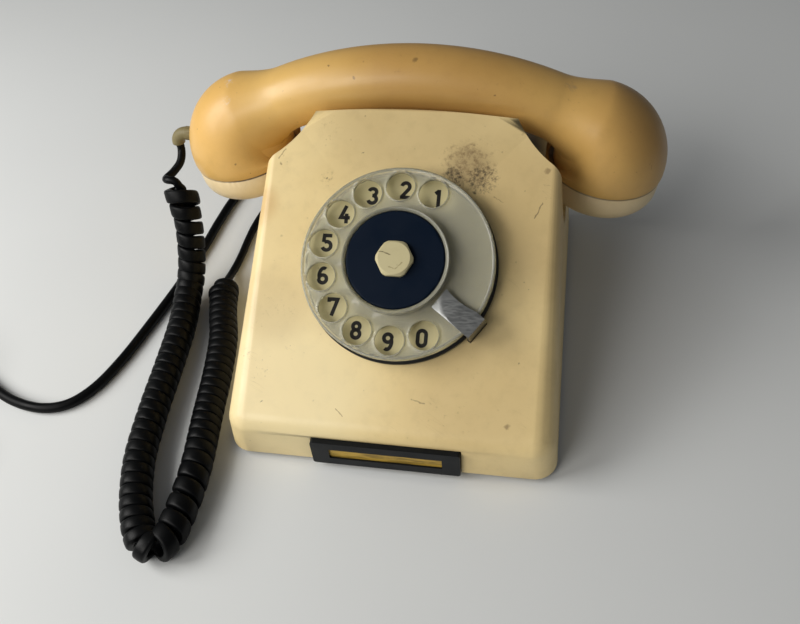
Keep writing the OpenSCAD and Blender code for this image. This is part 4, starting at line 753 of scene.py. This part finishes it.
class TELEPHONE_OT_handset_cord(bpy.types.Operator):
    """Coiled cord of the handset, with its plain lead at each end"""
    bl_idname = "telephone.handset_cord"
    bl_label = "Handset cord"

    def execute(self, context):
        shape, look = context.scene.telephone_shape, bpy.data.materials["Cord sheath"]
        lead, coil, tail = smooth(LEAD_ROUTE, 8), smooth(COIL_ROUTE, 12), smooth(TAIL_ROUTE, 8)
        line = np.concatenate([lead[:-1], coil[:-1], tail]) / 1000
        dist = along(line)
        start, end = along(lead)[-1] / 1000, (along(lead)[-1] + along(coil)[-1]) / 1000
        # Turns lie close together except where the cord hangs and round the front bend
        s = np.linspace(start, end, 2400)
        bend = dist[np.argmin(np.linalg.norm(line - np.array(FRONT_BEND) / 1000, axis=1))]
        known_at = [start, start + 0.030, start + 0.048, bend - 0.006, bend + 0.006, bend + 0.024, bend + 0.038,
                    bend + 0.055, end]
        open_by = np.interp(s, known_at, OPEN_BY)
        gap = shape.pitch * open_by
        turns = np.concatenate([[0.0], np.cumsum((s[1:] - s[:-1]) / ((gap[1:] + gap[:-1]) / 2))])
        per_turn = 26
        coil_s = np.interp(np.arange(0, turns[-1], 1 / per_turn), turns, s)
        all_s = np.concatenate([np.arange(0, start, 0.0012), coil_s, np.arange(end, dist[-1], 0.002), dist[-1:]])
        _, side, up = framed(line)
        centre, n, b = at(all_s, dist, line), unit(at(all_s, dist, side)), unit(at(all_s, dist, up))
        phase = COIL_PHASE - 2 * math.pi * np.interp(all_s, s, turns)
        ramp = np.clip(np.minimum((all_s - start) / COIL_ENDS[0], (end - all_s) / COIL_ENDS[1]), 0, 1)
        ramp = ramp * ramp * (3 - 2 * ramp)
        # The first and the last turn stand wide
        wide = (1 + 0.26 * np.exp(-((all_s - start - 0.004) / 0.0070) ** 2)
                + 0.16 * np.exp(-((end - 0.004 - all_s) / 0.0060) ** 2))
        # Each wire point is the coil's middle + radius x (cos side + sin up)
        out = np.cos(phase)[:, None] * n + np.sin(phase)[:, None] * b
        path = centre + (shape.coil_radius * ramp * wide)[:, None] * out
        t = unit(np.gradient(path, axis=0))
        a = unit(out - t * np.sum(out * t, -1, keepdims=True))
        # The section goes from round in the leads to flat in the turns, and flatter where they stand open
        half, share = shape.wire / 2, ramp[:, None, None]
        flatter = np.interp(all_s, s, np.clip(open_by, 1.0, 1.4))[:, None, None]
        full = oval(16, half, half * 1.25, 4.0) * np.concatenate([np.ones_like(share), flatter], -1)
        section = oval(16, half * 1.08, half * 1.08) * (1 - share) + full * share
        points = rings(path, a, np.cross(t, a), section)
        cord = lay("coiled_cord", points, ring_faces(len(path), 16), "base", look,
                   ("handset_lead", "handset_cord", "handset_tail"))
        return {"FINISHED"}


class TELEPHONE_OT_line_cord(bpy.types.Operator):
    """Line cord, its spare length wound into a coil, and its last stretch to the plug"""
    bl_idname = "telephone.line_cord"
    bl_label = "Line cord"

    def execute(self, context):
        shape, look = context.scene.telephone_shape, bpy.data.materials["Cord sheath"]
        d = shape.line * 1000
        # The radius steps between two rows at the end of each odd turn, the height at the end of each even one
        turn = np.arange(0, BUNDLE_TURNS, 1 / 40)
        share = np.clip((turn - np.arange(1, 8)[:, None]) / ROW_CHANGE + 1, 0, 1)
        step = share ** 2 * (3 - 2 * share)
        row, level = step[0] - step[2] + step[4] - step[6], step[1] + step[3] + step[5]
        r = BUNDLE_R + d / 2 - d * row
        angle = math.pi / 2 + 2 * math.pi * turn
        bundle = np.stack([BUNDLE_AT[0] + r * np.cos(angle), BUNDLE_AT[1] + r * np.sin(angle),
                           BUNDLE_LOW + d / 2 + level * d], -1)
        line = np.concatenate([smooth(LINE_ROUTE, 7)[:-1], bundle, smooth(PLUG_ROUTE, 6)]) / 1000
        _, side, up = framed(line)
        points = rings(line, side, up, oval(14, shape.line / 2, shape.line / 2))
        cord = lay("smooth_cord", points, ring_faces(len(line), 14), "base", look,
                   ("line_cord", "line_cord_coil"))
        return {"FINISHED"}


class TELEPHONE_OT_housing(bpy.types.Operator):
    """Housing, label frame and label strip"""
    bl_idname = "telephone.housing"
    bl_label = "Housing"

    def execute(self, context):
        dress("housing", "base", bpy.data.materials["Ivory plastic"], 40.0)
        dress("label_frame", "base", bpy.data.materials["Black plastic"], bevel=0.25)
        dress("label_strip", "base", bpy.data.materials["Strip card"])
        return {"FINISHED"}


class TELEPHONE_OT_dial(bpy.types.Operator):
    """Dial surround, number plate with its figures, finger wheel, centre and stop"""
    bl_idname = "telephone.dial"
    bl_label = "Dial"

    def execute(self, context):
        m = bpy.data.materials
        dress("dial_surround", "base", m["Black plastic"], bevel=0.15)
        dress("number_plate", "base", m["Plate lacquer"])
        dress("finger_stop", "base", m["Dulled steel"], bevel=0.15)
        dress("finger_wheel", "dial", m["Clear plastic"])
        dress("centre_disc", "dial", m["Navy disc"])
        dress("centre_cap", "dial", m["Cracked cream"], bevel=0.25, turn=CAP_TURN)
        points, faces, first = [], [], 0
        size = context.scene.telephone_shape.figure_height * 1000
        for i in range(10):
            a = math.radians(FIRST_HOLE - FIGURE_TURN + HOLE_STEP * i)
            for line in figure_strokes((i + 1) % 10):
                flat = ribbon(line, FIGURE_LINE) * size + [FIGURE_RING * math.cos(a), FIGURE_RING * math.sin(a)]
                points += [np.insert(flat, 2, PLATE_TOP + 0.03, axis=1)]
                n, j = len(line), np.arange(len(line) - 1)[:, None]
                faces += (first + np.concatenate([j, j + n, j + n + 1, j + 1], 1)).tolist()
                first += 2 * n
        lay("figures", on_face(np.concatenate(points)), faces, "base", m["Ink"], smooth=False)
        return {"FINISHED"}


class TELEPHONE_OT_handset(bpy.types.Operator):
    """Handset shell, its two caps and the cord's sleeve"""
    bl_idname = "telephone.handset"
    bl_label = "Handset"

    def execute(self, context):
        m = bpy.data.materials
        sides = 96
        points = handset_points(sides)
        faces = [f[::-1] for f in ring_faces(len(points), sides)]
        lay("handset_skin", points, faces, "handset", m["Amber plastic"], ("handset_shell",), sharp=60.0)
        dress("ear_cap", "handset", m["Cream plastic"])
        dress("mouth_cap", "handset", m["Cream plastic"])
        dress("handset_gland", "handset", m["Olive sleeve"])
        return {"FINISHED"}


class TELEPHONE_OT_insides(bpy.types.Operator):
    """Finishes of the pieces that stay as they are: base, dial train, ringer, cradle switch, circuit and glands"""
    bl_idname = "telephone.insides"
    bl_label = "Insides"

    def execute(self, context):
        slots = {p["node"]: p["material_slot"] for p in frame["record"]["subparts"]}
        for name, node in frame["nodes"].items():
            node.data.materials.clear()
            node.data.materials.append(bpy.data.materials[FINISH_OF_SLOT[slots[name]]])
        return {"FINISHED"}


class TELEPHONE_PT_panel(bpy.types.Panel):
    """Lists the telephone's pieces"""
    bl_label = "Telephone"
    bl_space_type = "VIEW_3D"
    bl_region_type = "UI"
    bl_category = "Telephone"

    def draw(self, context):
        for piece in PIECES:
            self.layout.operator(piece.bl_idname)
        for settings in ("telephone_shape", "telephone_colours", "telephone_stage"):
            box = self.layout.box()
            group_of = getattr(context.scene, settings)
            for name in group_of.bl_rna.properties.keys():
                if name not in ("rna_type", "name"):
                    box.prop(group_of, name)


PIECES = (TELEPHONE_OT_stage, TELEPHONE_OT_handset_cord, TELEPHONE_OT_line_cord, TELEPHONE_OT_housing,
          TELEPHONE_OT_dial, TELEPHONE_OT_handset, TELEPHONE_OT_insides)
SETTINGS = (("telephone_shape", TelephoneShape), ("telephone_colours", TelephoneColours),
            ("telephone_stage", TelephoneStage))


def register():
    for name, kind in SETTINGS:
        bpy.utils.register_class(kind)
        setattr(bpy.types.Scene, name, bpy.props.PointerProperty(type=kind))
    for kind in (*PIECES, TELEPHONE_PT_panel):
        bpy.utils.register_class(kind)


def unregister():
    for kind in (TELEPHONE_PT_panel, *reversed(PIECES)):
        bpy.utils.unregister_class(kind)
    for name, kind in reversed(SETTINGS):
        delattr(bpy.types.Scene, name)
        bpy.utils.unregister_class(kind)


def main():
    register()
    finishes()
    for piece in PIECES:
        group_name, operator = piece.bl_idname.split(".")
        getattr(getattr(bpy.ops, group_name), operator)()


if __name__ == "__main__":
    main()
